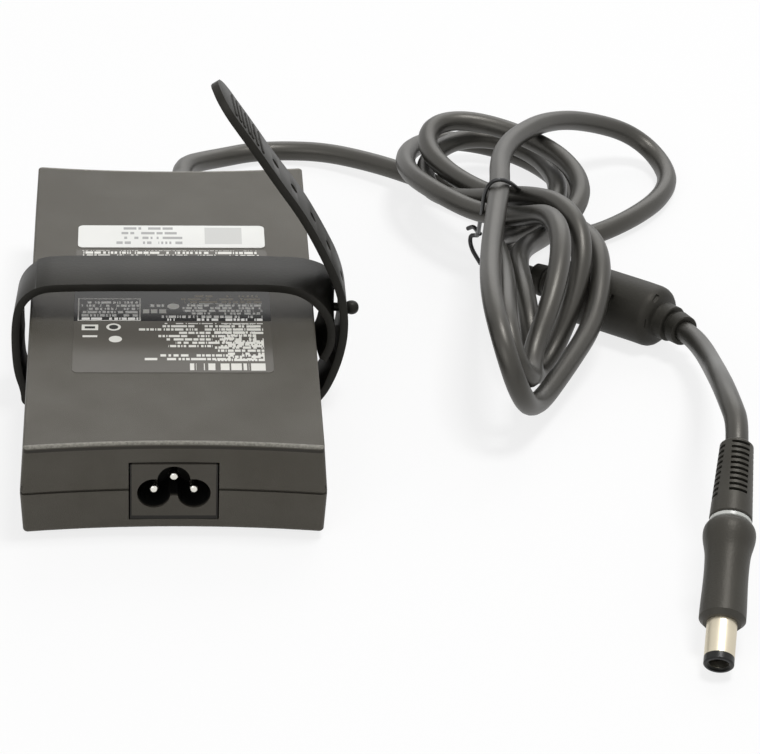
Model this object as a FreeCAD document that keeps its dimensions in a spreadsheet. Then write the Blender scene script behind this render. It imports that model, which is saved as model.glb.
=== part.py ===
# Laptop power adapter: a flat two-shell case with a three-pin inlet, a rubber
# strap round it, and a fixed output cord tied in a hank, with a ferrite and a
# barrel plug. Millimetres, +Z up, floor at z = 0, origin under the middle of
# the case and its strap.
import FreeCAD, Part
import math
import os

import Sketcher
from FreeCAD import Placement, Rotation, Vector

doc = FreeCAD.newDocument("power_adapter")

# Driving dimensions
SIZES = {
    "case_length": 154.7,
    "case_width": 76.2,
    "case_height": 25.0,
    "parting_height": 11.8,
    "top_inset": 0.9,
    "bottom_inset": 0.6,
    "end_sag": 2.5,
    "corner_round": 1.2,
    "top_edge_round": 0.5,
    "bottom_edge_round": 1.0,
    "wall": 2.0,
    "seam_gap": 0.7,
    "seam_depth": 0.6,
    "tongue_height": 1.8,
    "lip_height": 0.9,
    "lip_overhang": 0.4,
    "fit_gap": 0.15,
    "inlet_width": 21.8,
    "inlet_low": 3.1,
    "inlet_tall": 15.8,
    "inlet_deep": 17.0,
    "inlet_gap": 0.35,
    "socket_deep": 12.0,
    "lobe_radius": 4.15,
    "pin_spacing": 10.0,
    "live_height": 10.5,
    "earth_height": 14.2,
    "contact_dia": 2.4,
    "contact_shank_dia": 2.0,
    "contact_recess": 1.6,
    "contact_tail": 4.0,
    "strap_width": 16.0,
    "strap_thick": 1.6,
    "strap_clear": 0.3,
    "strap_near": 66.0,
    "strap_loop_height": 36.7,
    "strap_left": 2.2,
    "strap_right": 6.8,
    "strap_overlap": 4.0,
    "strap_tail_rise": 57.0,
    "strap_hole_dia": 3.0,
    "strap_hole_pitch": 9.3,
    "strap_stud_height": 25.9,
    "strap_tip_round": 6.0,
    "stud_dia": 2.2,
    "stud_ball_dia": 3.6,
    "cord_dia": 5.8,
    "relief_collar_dia": 11.0,
    "relief_root_dia": 9.6,
    "relief_tip_dia": 7.0,
    "relief_length": 23.0,
    "relief_collar_step": 1.7,
    "board_thick": 1.6,
    "board_height": 5.2,
    "board_side_gap": 3.1,
    "board_near_gap": 0.7,
    "board_end_gap": 8.0,
    "post_dia": 6.0,
    "post_inset": 5.0,
    "post_gap": 0.5,
    "part_gap": 1.3,
    "inlet_lead_dia": 1.4,
    "output_lead_dia": 1.6,
    "shield_thick": 0.6,
    "film_thick": 0.3,
    "seat_gap": 0.1,
    "label_width": 51.5,
    "label_near": 37.4,
    "label_far": 50.6,
    "label_thick": 0.1,
    "label_round": 1.5,
    "sticker_inset": 0.4,
    "sticker_length": 12.8,
    "sticker_gap": 1.2,
    "sticker_thick": 0.15,
    "ferrite_dia": 17.2,
    "ferrite_length": 32.0,
    "ferrite_core_dia": 14.2,
    "ferrite_core_length": 28.5,
    "ferrite_neck_dia": 9.2,
    "ferrite_neck_length": 9.0,
    "plug_body_dia": 13.0,
    "plug_waist_dia": 11.0,
    "plug_body_length": 27.8,
    "plug_ring_dia": 10.3,
    "plug_ring_length": 1.6,
    "plug_relief_dia": 10.6,
    "plug_relief_tip_dia": 8.4,
    "plug_relief_length": 22.1,
    "barrel_dia": 7.4,
    "barrel_shank_dia": 6.9,
    "barrel_seat": 8.0,
    "barrel_bore": 5.0,
    "barrel_length": 11.5,
    "tip_length": 2.0,
    "centre_pin_dia": 0.7,
    "tie_dia": 1.2,
}

sheet = doc.addObject("Spreadsheet::Sheet", "Sizes")
for row, (name, value) in enumerate(SIZES.items(), start=1):
    sheet.set("A%d" % row, name)
    sheet.set("B%d" % row, str(value))
    sheet.setAlias("B%d" % row, name)
doc.recompute()


def size(name):
    """Return one driving dimension from the sheet, in millimetres."""
    return float(getattr(sheet, name))


# Derived sizes that several pieces share
CASE_LIFT = size("strap_thick") + size("strap_clear")
RING_LEFT = size("case_width") / 2 + size("strap_left") + size("strap_thick") / 2
RING_RIGHT = size("case_width") / 2 + size("strap_right") + size("strap_thick") / 2
BALL_X = RING_RIGHT + size("strap_thick") / 2 + size("strap_clear") + size("stud_ball_dia") / 2
RING_SPAN_LEFT = RING_LEFT + size("strap_thick") / 2
RING_SPAN_RIGHT = BALL_X + size("stud_ball_dia") / 2
ORIGIN_X = (RING_SPAN_RIGHT - RING_SPAN_LEFT) / 2
HALF_LENGTH = size("case_length") / 2

parts = []


def keep(thing, label):
    """Name a finished piece; its label names its file."""
    thing.Label = label
    parts.append(thing)
    return thing


def role_plane(body, role):
    """Return a body's own origin plane by its role."""
    return [o for o in body.Origin.OriginFeatures if o.Role == role][0]


def new_sketch(body, name, role, offset="0"):
    """Start a sketch on one of the body's planes, moved along its normal."""
    sketch = body.newObject("Sketcher::SketchObject", name)
    sketch.AttachmentSupport = [(role_plane(body, role), "")]
    sketch.MapMode = "FlatFace"
    sketch.setExpression(".AttachmentOffset.Base.z", offset)
    return sketch


def case_outline(body, name, z, width, length, sag="Sizes.end_sag"):
    """Sketch the case's plan: straight sides and hollow ends."""
    sketch = new_sketch(body, name, "XY_Plane", z)
    half_w, half_l, dip = 30.0, 60.0, 2.5
    rise = (half_w * half_w + dip * dip) / (2 * dip)
    turn = math.asin(half_w / rise)
    near_centre = Vector(0, -half_l + dip - rise, 0)
    far_centre = Vector(0, half_l - dip + rise, 0)
    up = math.pi / 2
    sketch.addGeometry(Part.LineSegment(Vector(half_w, -half_l, 0), Vector(half_w, half_l, 0)))
    sketch.addGeometry(Part.LineSegment(Vector(-half_w, half_l, 0), Vector(-half_w, -half_l, 0)))
    near = Part.ArcOfCircle(Part.Circle(near_centre, Vector(0, 0, 1), rise), up - turn, up + turn)
    far = Part.ArcOfCircle(Part.Circle(far_centre, Vector(0, 0, 1), rise), -up - turn, -up + turn)
    sketch.addGeometry(near)
    sketch.addGeometry(far)
    joins = [(0, 1, 2, 1), (2, 2, 1, 2), (1, 1, 3, 1), (3, 2, 0, 2)]
    for first, first_end, second, second_end in joins:
        sketch.addConstraint(
            Sketcher.Constraint("Coincident", first, first_end, second, second_end)
        )
    sketch.addConstraint(Sketcher.Constraint("Vertical", 0))
    sketch.addConstraint(Sketcher.Constraint("Vertical", 1))
    sketch.addConstraint(Sketcher.Constraint("Symmetric", 0, 1, 1, 1, -1, 1))
    sketch.addConstraint(Sketcher.Constraint("Equal", 2, 3))
    across = sketch.addConstraint(Sketcher.Constraint("DistanceX", 1, 1, 0, 2, 2 * half_w))
    along = sketch.addConstraint(Sketcher.Constraint("DistanceY", 0, 1, 0, 2, 2 * half_l))
    bow = sketch.addConstraint(Sketcher.Constraint("Radius", 2, rise))
    sketch.setExpression("Constraints[%d]" % across, width)
    sketch.setExpression("Constraints[%d]" % along, length)
    sketch.setExpression(
        "Constraints[%d]" % bow,
        "((%s) * (%s) / 4 + %s * %s) / (2 * %s)" % (width, width, sag, sag, sag),
    )
    return sketch


def box_outline(body, name, role, offset, left, right, low, high):
    """Sketch a rectangle whose four edges are each bound to an expression."""
    sketch = new_sketch(body, name, role, offset)
    corners = [Vector(1, 1, 0), Vector(9, 1, 0), Vector(9, 9, 0), Vector(1, 9, 0)]
    for index in range(4):
        sketch.addGeometry(Part.LineSegment(corners[index], corners[(index + 1) % 4]))
    for index in range(4):
        sketch.addConstraint(Sketcher.Constraint("Coincident", index, 2, (index + 1) % 4, 1))
    for index, kind in enumerate(["Horizontal", "Vertical", "Horizontal", "Vertical"]):
        sketch.addConstraint(Sketcher.Constraint(kind, index))
    places = [("DistanceX", 0, 1, left), ("DistanceX", 1, 2, right)]
    places += [("DistanceY", 0, 1, low), ("DistanceY", 2, 1, high)]
    for kind, line, end, where in places:
        index = sketch.addConstraint(Sketcher.Constraint(kind, -1, 1, line, end, 1.0))
        sketch.setExpression("Constraints[%d]" % index, where)
    return sketch


def round_outline(body, name, role, offset, across, up, radius):
    """Sketch one circle."""
    sketch = new_sketch(body, name, role, offset)
    sketch.addGeometry(Part.Circle(Vector(1, 1, 0), Vector(0, 0, 1), 3.0))
    for kind, where in (("DistanceX", across), ("DistanceY", up)):
        index = sketch.addConstraint(Sketcher.Constraint(kind, -1, 1, 0, 3, 1.0))
        sketch.setExpression("Constraints[%d]" % index, where)
    index = sketch.addConstraint(Sketcher.Constraint("Radius", 0, 3.0))
    sketch.setExpression("Constraints[%d]" % index, radius)
    return sketch


def pad(body, sketch, name, length, downwards=False, inset=None):
    """Pad a sketch; an inset draws its far face in on every side."""
    feature = body.newObject("PartDesign::Pad", name)
    feature.Profile = sketch
    feature.setExpression("Length", length)
    feature.Reversed = downwards
    if inset:
        feature.setExpression("TaperAngle", "-atan((%s) / (%s))" % (inset, length))
    sketch.Visibility = False
    return feature


def pocket(body, sketch, name, length, upwards=False):
    """Cut a sketch into the body."""
    feature = body.newObject("PartDesign::Pocket", name)
    feature.Profile = sketch
    feature.setExpression("Length", length)
    feature.Reversed = upwards
    return feature


def edges_where(shape, test):
    """Name the edges whose middle point and shape pass a test."""
    names = []
    for index, edge in enumerate(shape.Edges, start=1):
        middle = edge.valueAt((edge.FirstParameter + edge.LastParameter) / 2)
        if test(edge, middle):
            names.append("Edge%d" % index)
    return names


def fillet(body, base, name, radius, test):
    """Round the edges of the last feature that pass a test."""
    doc.recompute()
    feature = body.newObject("PartDesign::Fillet", name)
    feature.Base = (base, edges_where(base.Shape, test))
    feature.setExpression("Radius", radius)
    return feature


def upright(edge, middle):
    """Tell whether an edge runs mostly along z near a plan corner."""
    ends = [v.Point for v in edge.Vertexes]
    if len(ends) != 2:
        return False
    run = ends[1] - ends[0]
    return abs(run.z) > 0.9 * run.Length and abs(middle.x) > size("case_width") / 3


def seat(thing, up="0", along="0"):
    """Place a piece that is drawn in the case's own frame."""
    thing.Placement = Placement(Vector(-ORIGIN_X, 0, CASE_LIFT), Rotation())
    lift = "Sizes.strap_thick + Sizes.strap_clear + %s" % up
    thing.setExpression(".Placement.Base.z", lift)
    thing.setExpression(".Placement.Base.y", along)
    return thing


# Case shells
WIDTH_IN = "Sizes.case_width - 2 * Sizes.wall"
LENGTH_IN = "Sizes.case_length - 2 * Sizes.wall"
HALF_SEAM = "Sizes.seam_gap / 2"
NEAR_WALL = "-Sizes.case_length / 2"
BOARD_FAR = "(Sizes.case_length / 2 - Sizes.wall - Sizes.end_sag - Sizes.board_end_gap)"
BOARD_NEAR = "(Sizes.end_sag + Sizes.inlet_deep + Sizes.board_near_gap - Sizes.case_length / 2)"
BOARD_WIDE = "(Sizes.case_width - 2 * Sizes.wall - 2 * Sizes.board_side_gap)"
BOARD_LONG = "(%s - %s)" % (BOARD_FAR, BOARD_NEAR)
POST_NEAR = BOARD_NEAR + " + Sizes.post_inset"
POST_FAR = BOARD_FAR + " - Sizes.post_inset"


def inlet_window(body, name):
    """Cut the inlet's window through the near wall."""
    sketch = box_outline(
        body, name + "_outline", "XZ_Plane", "Sizes.case_length / 2 + 1",
        "-Sizes.inlet_width / 2 - Sizes.inlet_gap", "Sizes.inlet_width / 2 + Sizes.inlet_gap",
        "Sizes.inlet_low - Sizes.inlet_gap",
        "Sizes.inlet_low + Sizes.inlet_tall + Sizes.inlet_gap",
    )
    return pocket(body, sketch, name, "Sizes.end_sag + Sizes.wall + 3")


def cord_exit(body, name):
    """Cut the cord exit through the far wall at the parting height."""
    sketch = round_outline(
        body, name + "_outline", "XZ_Plane", "-Sizes.case_length / 2 - 1",
        "0", "Sizes.parting_height", "Sizes.relief_root_dia / 2 + Sizes.fit_gap",
    )
    return pocket(body, sketch, name, "Sizes.end_sag + Sizes.wall + 3", upwards=True)


def bottom_shell():
    """Lower half: a drafted tray with a tongue, board posts and two cut-outs."""
    body = doc.addObject("PartDesign::Body", "BottomShell")
    top = "Sizes.parting_height - %s" % HALF_SEAM
    outline = case_outline(body, "tray_outline", top, "Sizes.case_width", "Sizes.case_length")
    block = pad(body, outline, "tray_block", top, True, "Sizes.bottom_inset")
    corners = fillet(body, block, "tray_corners", "Sizes.corner_round", upright)
    edge = fillet(
        body, corners, "tray_edges", "Sizes.bottom_edge_round", lambda e, m: m.z < 0.01
    )
    hollow = case_outline(body, "tray_hollow_outline", top, WIDTH_IN, LENGTH_IN)
    pocket(body, hollow, "tray_hollow", "%s - Sizes.wall" % top)
    collar = case_outline(
        body, "tongue_outline", top,
        "Sizes.case_width - 2 * Sizes.seam_depth", "Sizes.case_length - 2 * Sizes.seam_depth",
    )
    pad(body, collar, "tongue", "Sizes.seam_gap + Sizes.tongue_height")
    inner = case_outline(
        body, "tongue_hollow_outline", "%s + Sizes.seam_gap + Sizes.tongue_height" % top,
        WIDTH_IN, LENGTH_IN,
    )
    pocket(body, inner, "tongue_hollow", "Sizes.seam_gap + Sizes.tongue_height + 1")
    side_in = "(%s / 2 - Sizes.post_inset)" % BOARD_WIDE
    for side, x in (("left", "-" + side_in), ("right", side_in)):
        for end, y in (("near", POST_NEAR), ("far", POST_FAR)):
            post = round_outline(
                body, "post_outline_%s_%s" % (side, end), "XY_Plane", "Sizes.wall - 0.5", x, y,
                "Sizes.post_dia / 2",
            )
            pad(body, post, "post_%s_%s" % (side, end), "Sizes.board_height - Sizes.wall + 0.5")
    inlet_window(body, "inlet_window")
    cord_exit(body, "cord_exit")
    return keep(seat(body), "bottom_shell")


def top_shell():
    """Upper half: a drafted lid with a thin overhanging rim at both ends."""
    body = doc.addObject("PartDesign::Body", "TopShell")
    low = "Sizes.parting_height + %s" % HALF_SEAM
    rise = "Sizes.case_height - Sizes.lip_height - Sizes.parting_height - %s" % HALF_SEAM
    outline = case_outline(body, "lid_outline", low, "Sizes.case_width", "Sizes.case_length")
    block = pad(body, outline, "lid_block", rise, False, "Sizes.top_inset")
    fillet(body, block, "lid_corners", "Sizes.corner_round", upright)
    rim_outline = case_outline(
        body, "rim_outline", "Sizes.case_height - Sizes.lip_height",
        "Sizes.case_width - 2 * Sizes.top_inset",
        "Sizes.case_length - 2 * Sizes.top_inset + 2 * Sizes.lip_overhang",
    )
    rim = pad(body, rim_outline, "rim", "Sizes.lip_height")
    shoulder = size("case_height") - size("lip_height")
    corners = fillet(
        body, rim, "rim_corners", "Sizes.corner_round",
        lambda e, m: upright(e, m) and m.z > shoulder,
    )
    top = size("case_height") - 0.01
    fillet(body, corners, "rim_edges", "Sizes.top_edge_round", lambda e, m: m.z > top)
    hollow = case_outline(body, "lid_hollow_outline", low, WIDTH_IN, LENGTH_IN)
    pocket(
        body, hollow, "lid_hollow",
        "Sizes.case_height - Sizes.wall - Sizes.parting_height - %s" % HALF_SEAM, True,
    )
    rebate = case_outline(
        body, "rebate_outline", low,
        "Sizes.case_width - 2 * Sizes.seam_depth + 2 * Sizes.fit_gap",
        "Sizes.case_length - 2 * Sizes.seam_depth + 2 * Sizes.fit_gap",
    )
    pocket(body, rebate, "rebate", "Sizes.tongue_height", True)
    inlet_window(body, "inlet_window")
    cord_exit(body, "cord_exit")
    return keep(seat(body), "top_shell")


bottom_shell()
top_shell()


# Inlet: a moulded block with a clover-shaped socket and three round contacts
def bound(kind, name, **sizes):
    """Make a Part primitive whose sizes are bound to expressions."""
    thing = doc.addObject("Part::" + kind, name)
    for prop, rule in sizes.items():
        thing.setExpression(prop, rule)
    return thing


def case_place(thing, x, y, z, axis=Vector(0, 0, 1), angle=0):
    """Place a piece at a point of the case's own frame."""
    thing.Placement = Placement(Vector(x - ORIGIN_X, y, z + CASE_LIFT), Rotation(axis, angle))
    return thing


def fused(label, things):
    """Join solids of one piece, or group separate like solids."""
    joint = doc.addObject("Part::Compound", label + "_group")
    joint.Links = things
    return keep(joint, label)


def cut(name, base, tool):
    """Cut one object from another."""
    thing = doc.addObject("Part::Cut", name)
    thing.Base = base
    thing.Tool = tool
    return thing


ALONG_Y = (Vector(1, 0, 0), -90)
ALONG_X = (Vector(0, 1, 0), 90)
FACE_Y = -HALF_LENGTH + size("end_sag")
INLET_BACK = FACE_Y + size("inlet_deep")
CONTACT_SPOTS = (
    (-size("pin_spacing") / 2, size("live_height")),
    (size("pin_spacing") / 2, size("live_height")),
    (0.0, size("earth_height")),
)


def y_rod(name, radius, length, x, y, z):
    """A round rod along y, starting at y."""
    rod = bound("Cylinder", name, Radius=radius, Height=length)
    return case_place(rod, x, y, z, *ALONG_Y)


def inlet_body():
    """The inlet's block, its socket cut as three overlapping round lobes."""
    block = bound(
        "Box", "inlet_block", Length="Sizes.inlet_width", Width="Sizes.inlet_deep",
        Height="Sizes.inlet_tall",
    )
    case_place(block, -size("inlet_width") / 2, FACE_Y, size("inlet_low"))
    lobes = []
    for index, (x, z) in enumerate(CONTACT_SPOTS):
        lobe = y_rod(
            "lobe_%d" % index, "Sizes.lobe_radius", "Sizes.socket_deep + 1", x, FACE_Y - 1, z
        )
        lobes.append(lobe)
    middle = bound(
        "Box", "lobe_middle", Length="Sizes.pin_spacing", Width="Sizes.socket_deep + 1",
        Height="Sizes.earth_height - Sizes.live_height + 0.6",
    )
    case_place(middle, -size("pin_spacing") / 2, FACE_Y - 1, size("live_height") - 0.6)
    socket = doc.addObject("Part::MultiFuse", "socket")
    socket.Shapes = lobes + [middle]
    body = cut("inlet_hollow", block, socket)
    for index, (x, z) in enumerate(CONTACT_SPOTS):
        hole = y_rod(
            "contact_hole_%d" % index, "Sizes.contact_shank_dia / 2",
            "Sizes.inlet_deep - Sizes.socket_deep + 2", x,
            FACE_Y + size("socket_deep") - 1, z,
        )
        body = cut("inlet_bored_%d" % index, body, hole)
    return keep(body, "inlet_body")


def contact_group():
    """Three round contacts with rounded tips and thinner shanks, each one solid."""
    rods = []
    tip = FACE_Y + size("contact_recess")
    floor = FACE_Y + size("socket_deep")
    for index, (x, z) in enumerate(CONTACT_SPOTS):
        head = y_rod(
            "contact_head_%d" % index, "Sizes.contact_dia / 2",
            "Sizes.socket_deep - Sizes.contact_recess", x, tip, z,
        )
        shank = y_rod(
            "contact_shank_%d" % index, "Sizes.contact_shank_dia / 2",
            "Sizes.inlet_deep - Sizes.socket_deep + Sizes.contact_tail + 1", x, floor - 1, z,
        )
        rod = doc.addObject("Part::Fuse", "contact_rod_%d" % index)
        rod.Base = head
        rod.Tool = shank
        round_tip = doc.addObject("Part::Fillet", "contact_%d" % index)
        round_tip.Base = rod
        doc.recompute()
        rings = [
            (number, 0.35 * size("contact_dia"), 0.35 * size("contact_dia"))
            for number, edge in enumerate(rod.Shape.Edges, start=1)
            if edge.Closed and abs(edge.CenterOfMass.y - tip) < 0.01
        ]
        round_tip.Edges = rings
        rods.append(round_tip)
    return fused("inlet_contacts", rods)


# Board and what stands on it
BOARD_TOP = size("board_height") + size("board_thick")
BOARD_MIN_Y = INLET_BACK + size("board_near_gap")
BOARD_MAX_Y = HALF_LENGTH - size("wall") - size("end_sag") - size("board_end_gap")
BOARD_LENGTH = BOARD_MAX_Y - BOARD_MIN_Y
BOARD_WIDTH = size("case_width") - 2 * size("wall") - 2 * size("board_side_gap")
BOARD_MID_Y = BOARD_MIN_Y + BOARD_LENGTH / 2
HEADROOM = size("case_height") - size("wall") - size("shield_thick") - size("film_thick")
HEADROOM -= BOARD_TOP
PART_TALL = HEADROOM - size("part_gap")
LAYOUT_WIDTH = 66.0
LAYOUT_LENGTH = 122.0


def across(length):
    """A length across the layout, which follows the board's width."""
    return length * BOARD_WIDTH / LAYOUT_WIDTH


def along(length):
    """A length along the layout, which follows the board's length."""
    return length * BOARD_LENGTH / LAYOUT_LENGTH


def block_at(label, wide, deep, tall, x, y, z):
    """A plain rectangular piece centred on x and y, standing at z."""
    thing = doc.addObject("Part::Box", label + "_block")
    thing.Length = wide
    thing.Width = deep
    thing.Height = tall
    return case_place(thing, x - wide / 2, y - deep / 2, z)


def drum_at(label, dia, tall, x, y, z, lying=None):
    """A plain round piece, standing at z or lying along an axis."""
    thing = doc.addObject("Part::Cylinder", label + "_drum")
    thing.Radius = dia / 2
    thing.Height = tall
    if lying == "y":
        return case_place(thing, x, y - tall / 2, z + dia / 2, *ALONG_Y)
    if lying == "x":
        return case_place(thing, x - tall / 2, y, z + dia / 2, *ALONG_X)
    return case_place(thing, x, y, z)


def wound_core(name, wide, deep, x, y):
    """A ferrite core with two windows and its coil round the middle leg."""
    tall = PART_TALL
    leg = wide / 3
    side = wide / 7
    window = (wide - leg) / 2 - side
    rise = 0.16 * tall
    core = block_at(name + "_core", wide, deep, tall - 2 * rise, x, y, BOARD_TOP + rise)
    for index, way in enumerate((-1, 1)):
        slot = block_at(
            "%s_window_%d" % (name, index), window, deep - 2 * side, tall,
            x + way * (leg / 2 + window / 2), y, BOARD_TOP,
        )
        core = cut("%s_core_cut_%d" % (name, index), core, slot)
    keep(core, name + "_core")
    gap = size("fit_gap")
    outer = block_at(
        name + "_coil", leg + 2 * window - 2 * gap, deep - 2 * side - 2 * gap, tall,
        x, y, BOARD_TOP,
    )
    bore = block_at(
        name + "_coil_bore", leg + 2 * gap, deep, tall - 2 * rise + 2 * gap,
        x, y, BOARD_TOP + rise - gap,
    )
    keep(cut(name + "_coil_cut", outer, bore), name + "_coil")


def circuit_board():
    """The board, resting on the four posts of the lower shell."""
    board = bound(
        "Box", "board_plate", Length=BOARD_WIDE, Width=BOARD_LONG, Height="Sizes.board_thick"
    )
    case_place(board, -BOARD_WIDTH / 2, BOARD_MIN_Y, size("board_height"))
    return keep(board, "circuit_board")


def heat_sink(name, x, y, count):
    """An upright aluminium bar with flat power packages clamped to it."""
    bar = across(2.5)
    thick = across(4.6)
    keep(block_at(name, bar, along(38.0), PART_TALL, x, y, BOARD_TOP), name)
    packages = []
    for index in range(count):
        place = y + (index - (count - 1) / 2) * along(13.0)
        packages.append(
            block_at(
                "%s_package_%d" % (name, index), thick, along(10.2), 0.85 * PART_TALL,
                x + (bar + thick) / 2, place, BOARD_TOP,
            )
        )
    return packages


def inside_pieces():
    """Everything that stands on the board, in order from the inlet."""
    seat_z = BOARD_TOP + size("seat_gap")
    near = BOARD_MIN_Y
    fuse = drum_at("fuse", 5.2, across(20.0), across(-20.0), near + along(5.0), seat_z, "x")
    keep(fuse, "fuse")
    capacitor = block_at(
        "x_capacitor", across(18.0), along(7.5), 0.93 * PART_TALL,
        across(17.0), near + along(5.5), BOARD_TOP,
    )
    keep(capacitor, "x_capacitor")
    wound_core("line_choke", across(20.0), along(17.0), across(-20.0), near + along(20.5))
    bridge = block_at(
        "bridge_rectifier", across(20.0), along(4.2), PART_TALL,
        across(6.0), near + along(14.0), BOARD_TOP,
    )
    keep(bridge, "bridge_rectifier")
    wound_core("boost_choke", across(24.0), along(20.0), across(17.0), near + along(29.0))
    can_dia = min(PART_TALL, across(14.0))
    cans = [
        drum_at("can_%d" % index, can_dia, along(31.0), across(x), near + along(49.0), seat_z, "y")
        for index, x in enumerate((-23.5, -8.5))
    ]
    fused("bulk_capacitors", cans)
    switches = heat_sink("heat_sink_primary", across(4.0), near + along(62.0), 2)
    fused("switching_transistors", switches)
    wound_core("transformer", across(29.0), along(30.0), across(-14.5), near + along(83.0))
    rectifiers = heat_sink("heat_sink_secondary", across(8.0), near + along(101.0), 2)
    fused("output_rectifiers", rectifiers)
    small_dia = min(along(8.0), across(8.0))
    small = [
        drum_at(
            "small_can_%d" % index, small_dia, PART_TALL, across(22.0),
            near + along(80.0 + 9.0 * index), BOARD_TOP,
        )
        for index in range(4)
    ]
    fused("output_capacitors", small)


def shields():
    """Aluminium spreaders under the lid and on the floor, and a film."""
    wide = BOARD_WIDTH
    deep = BOARD_LENGTH
    under_lid = size("case_height") - size("wall") - size("shield_thick")
    thick = size("shield_thick")
    keep(block_at("shield_top", wide, deep, thick, 0, BOARD_MID_Y, under_lid), "shield_top")
    film = block_at(
        "insulation_film", wide, deep, size("film_thick"), 0, BOARD_MID_Y,
        under_lid - size("film_thick"),
    )
    keep(film, "insulation_film")
    floor = block_at("shield_bottom", wide, deep, thick, 0, BOARD_MID_Y, size("wall"))
    index = 0
    inset = size("post_inset")
    hole_dia = size("post_dia") + 2 * size("post_gap")
    for x in (-wide / 2 + inset, wide / 2 - inset):
        for y in (BOARD_MIN_Y + inset, BOARD_MAX_Y - inset):
            hole = drum_at("post_hole_%d" % index, hole_dia, thick + 2, x, y, size("wall") - 1)
            floor = cut("shield_bottom_cut_%d" % index, floor, hole)
            index += 1
    keep(floor, "shield_bottom")


def bent_wire(name, dia, start, knee, end):
    """A stiff wire with one square bend, as two runs and a quarter arc."""
    first = (knee - start).normalize()
    second = (end - knee).normalize()
    bend = 1.5 * dia
    leave = knee - first * bend
    join = knee + second * bend
    middle = knee + (second - first) * bend * (1 - math.sqrt(0.5))
    path = Part.Wire([
        Part.LineSegment(start, leave).toShape(),
        Part.Arc(leave, middle, join).toShape(),
        Part.LineSegment(join, end).toShape(),
    ])
    ring = Part.Wire([Part.Circle(start, first, dia / 2).toShape()])
    thing = doc.addObject("Part::Feature", name)
    thing.Shape = path.makePipeShell([ring], True, False)
    return thing


def inlet_leads():
    """Stiff leads from the contacts' tails down to the board."""
    wires = []
    dia = size("inlet_lead_dia")
    tail = INLET_BACK + size("contact_tail")
    for index, (x, z) in enumerate(CONTACT_SPOTS):
        run = 2.3 * dia if x else 4.4 * dia
        start = Vector(x, tail, z)
        knee = Vector(x, tail + run, z)
        end = Vector(x, tail + run, BOARD_TOP)
        wires.append(case_place(bent_wire("inlet_lead_%d" % index, dia, start, knee, end), 0, 0, 0))
    return fused("inlet_leads", wires)


def output_leads():
    """Two stiff leads from the board to the cord's inner end."""
    wires = []
    dia = size("output_lead_dia")
    inner = HALF_LENGTH - size("end_sag") - size("wall") - size("relief_collar_step")
    z = size("parting_height")
    for index, x in enumerate((-dia, dia)):
        start = Vector(x, inner, z)
        knee = Vector(x, BOARD_MAX_Y - 2.0, z)
        end = Vector(knee.x, knee.y, BOARD_TOP)
        wires.append(
            case_place(bent_wire("output_lead_%d" % index, dia, start, knee, end), 0, 0, 0)
        )
    return fused("output_leads", wires)


inlet_body()
contact_group()
circuit_board()
inside_pieces()
shields()
inlet_leads()
output_leads()


# Labels, laid in the lid's top face a hair above it
LID_TOP = size("case_height")


def sticker(label, left, right, near, far, low, tall):
    """A thin rounded rectangle on the lid."""
    plate = doc.addObject("Part::Box", label + "_plate")
    plate.Length = right - left
    plate.Width = far - near
    plate.Height = tall
    case_place(plate, left, near, low)
    doc.recompute()
    round_plate = doc.addObject("Part::Fillet", label + "_rounded")
    round_plate.Base = plate
    radius = size("label_round")
    round_plate.Edges = [
        (number, radius, radius)
        for number, edge in enumerate(plate.Shape.Edges, start=1)
        if abs(edge.BoundBox.ZLength - tall) < 0.01
    ]
    return keep(round_plate, label)


def labels():
    """The long printed label and the white sticker beyond it."""
    half = size("label_width") / 2
    far = HALF_LENGTH - size("label_far")
    sticker(
        "rating_label", -half, half, size("label_near") - HALF_LENGTH, far, LID_TOP,
        size("label_thick"),
    )
    half -= size("sticker_inset")
    near = far + size("sticker_gap")
    sticker(
        "white_sticker", -half, half, near, near + size("sticker_length"), LID_TOP,
        size("sticker_thick"),
    )


# Rubber strap: one band wound over itself, with holes, a stud and a gripped tail
def strap_line():
    """The band's centre line in the xz plane, from its inner end to its tip."""
    half = size("case_width") / 2
    mid = size("strap_thick") / 2
    top = size("strap_loop_height") - mid
    left = RING_LEFT
    right = RING_RIGHT
    inner = right - size("strap_overlap")
    climb = size("strap_tail_rise")
    points = [
        (inner - 1.2, top - 20.6), (inner, top - 17.4), (inner, top - 13.5),
        (inner - 1.5, top - 10.0), (inner - 4.3, top - 6.2), (inner - 8.0, top - 2.8),
        (inner - 12.0, top - 0.9), (inner - 18.0, top), (-25.0, top), (-31.5, top - 0.8),
        (-left + 2.8, top - 5.2), (-left, top - 11.4), (-left, top - 19.0),
        (-left + 1.2, mid + 8.0), (-half - 1.9, mid), (half + 0.2, mid),
        (half + 4.2, mid + 3.0), (right - 0.7, mid + 9.7), (right, mid + 17.0),
        (right - 0.4, mid + 26.2), (right - 2.4, top), (right - 6.2, top + 0.177 * climb),
        (right - 11.7, top + 0.36 * climb), (right - 18.7, top + 0.535 * climb),
        (right - 24.7, top + 0.7 * climb), (right - 29.7, top + 0.833 * climb),
        (right - 35.7, top + climb),
    ]
    return [Vector(x, 0, z) for x, z in points]


def rounded_path(points, share=0.45):
    """Join straight runs with tangent arcs; returns the edges and the radii."""
    edges = []
    radii = []
    last = points[0]
    for before, corner, after in zip(points[:-2], points[1:-1], points[2:]):
        one = (corner - before).normalize()
        two = (after - corner).normalize()
        half_turn = one.getAngle(two) / 2
        reach = share * min((corner - before).Length, (after - corner).Length)
        radius = reach / math.tan(half_turn)
        leave = corner - one * reach
        join = corner + two * reach
        bulge = (two - one).normalize() * (radius / math.cos(half_turn) - radius)
        edges.append(Part.LineSegment(last, leave).toShape())
        edges.append(Part.Arc(leave, corner + bulge, join).toShape())
        radii.append(round(radius, 1))
        last = join
    edges.append(Part.LineSegment(last, points[-1]).toShape())
    return edges, radii


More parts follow.
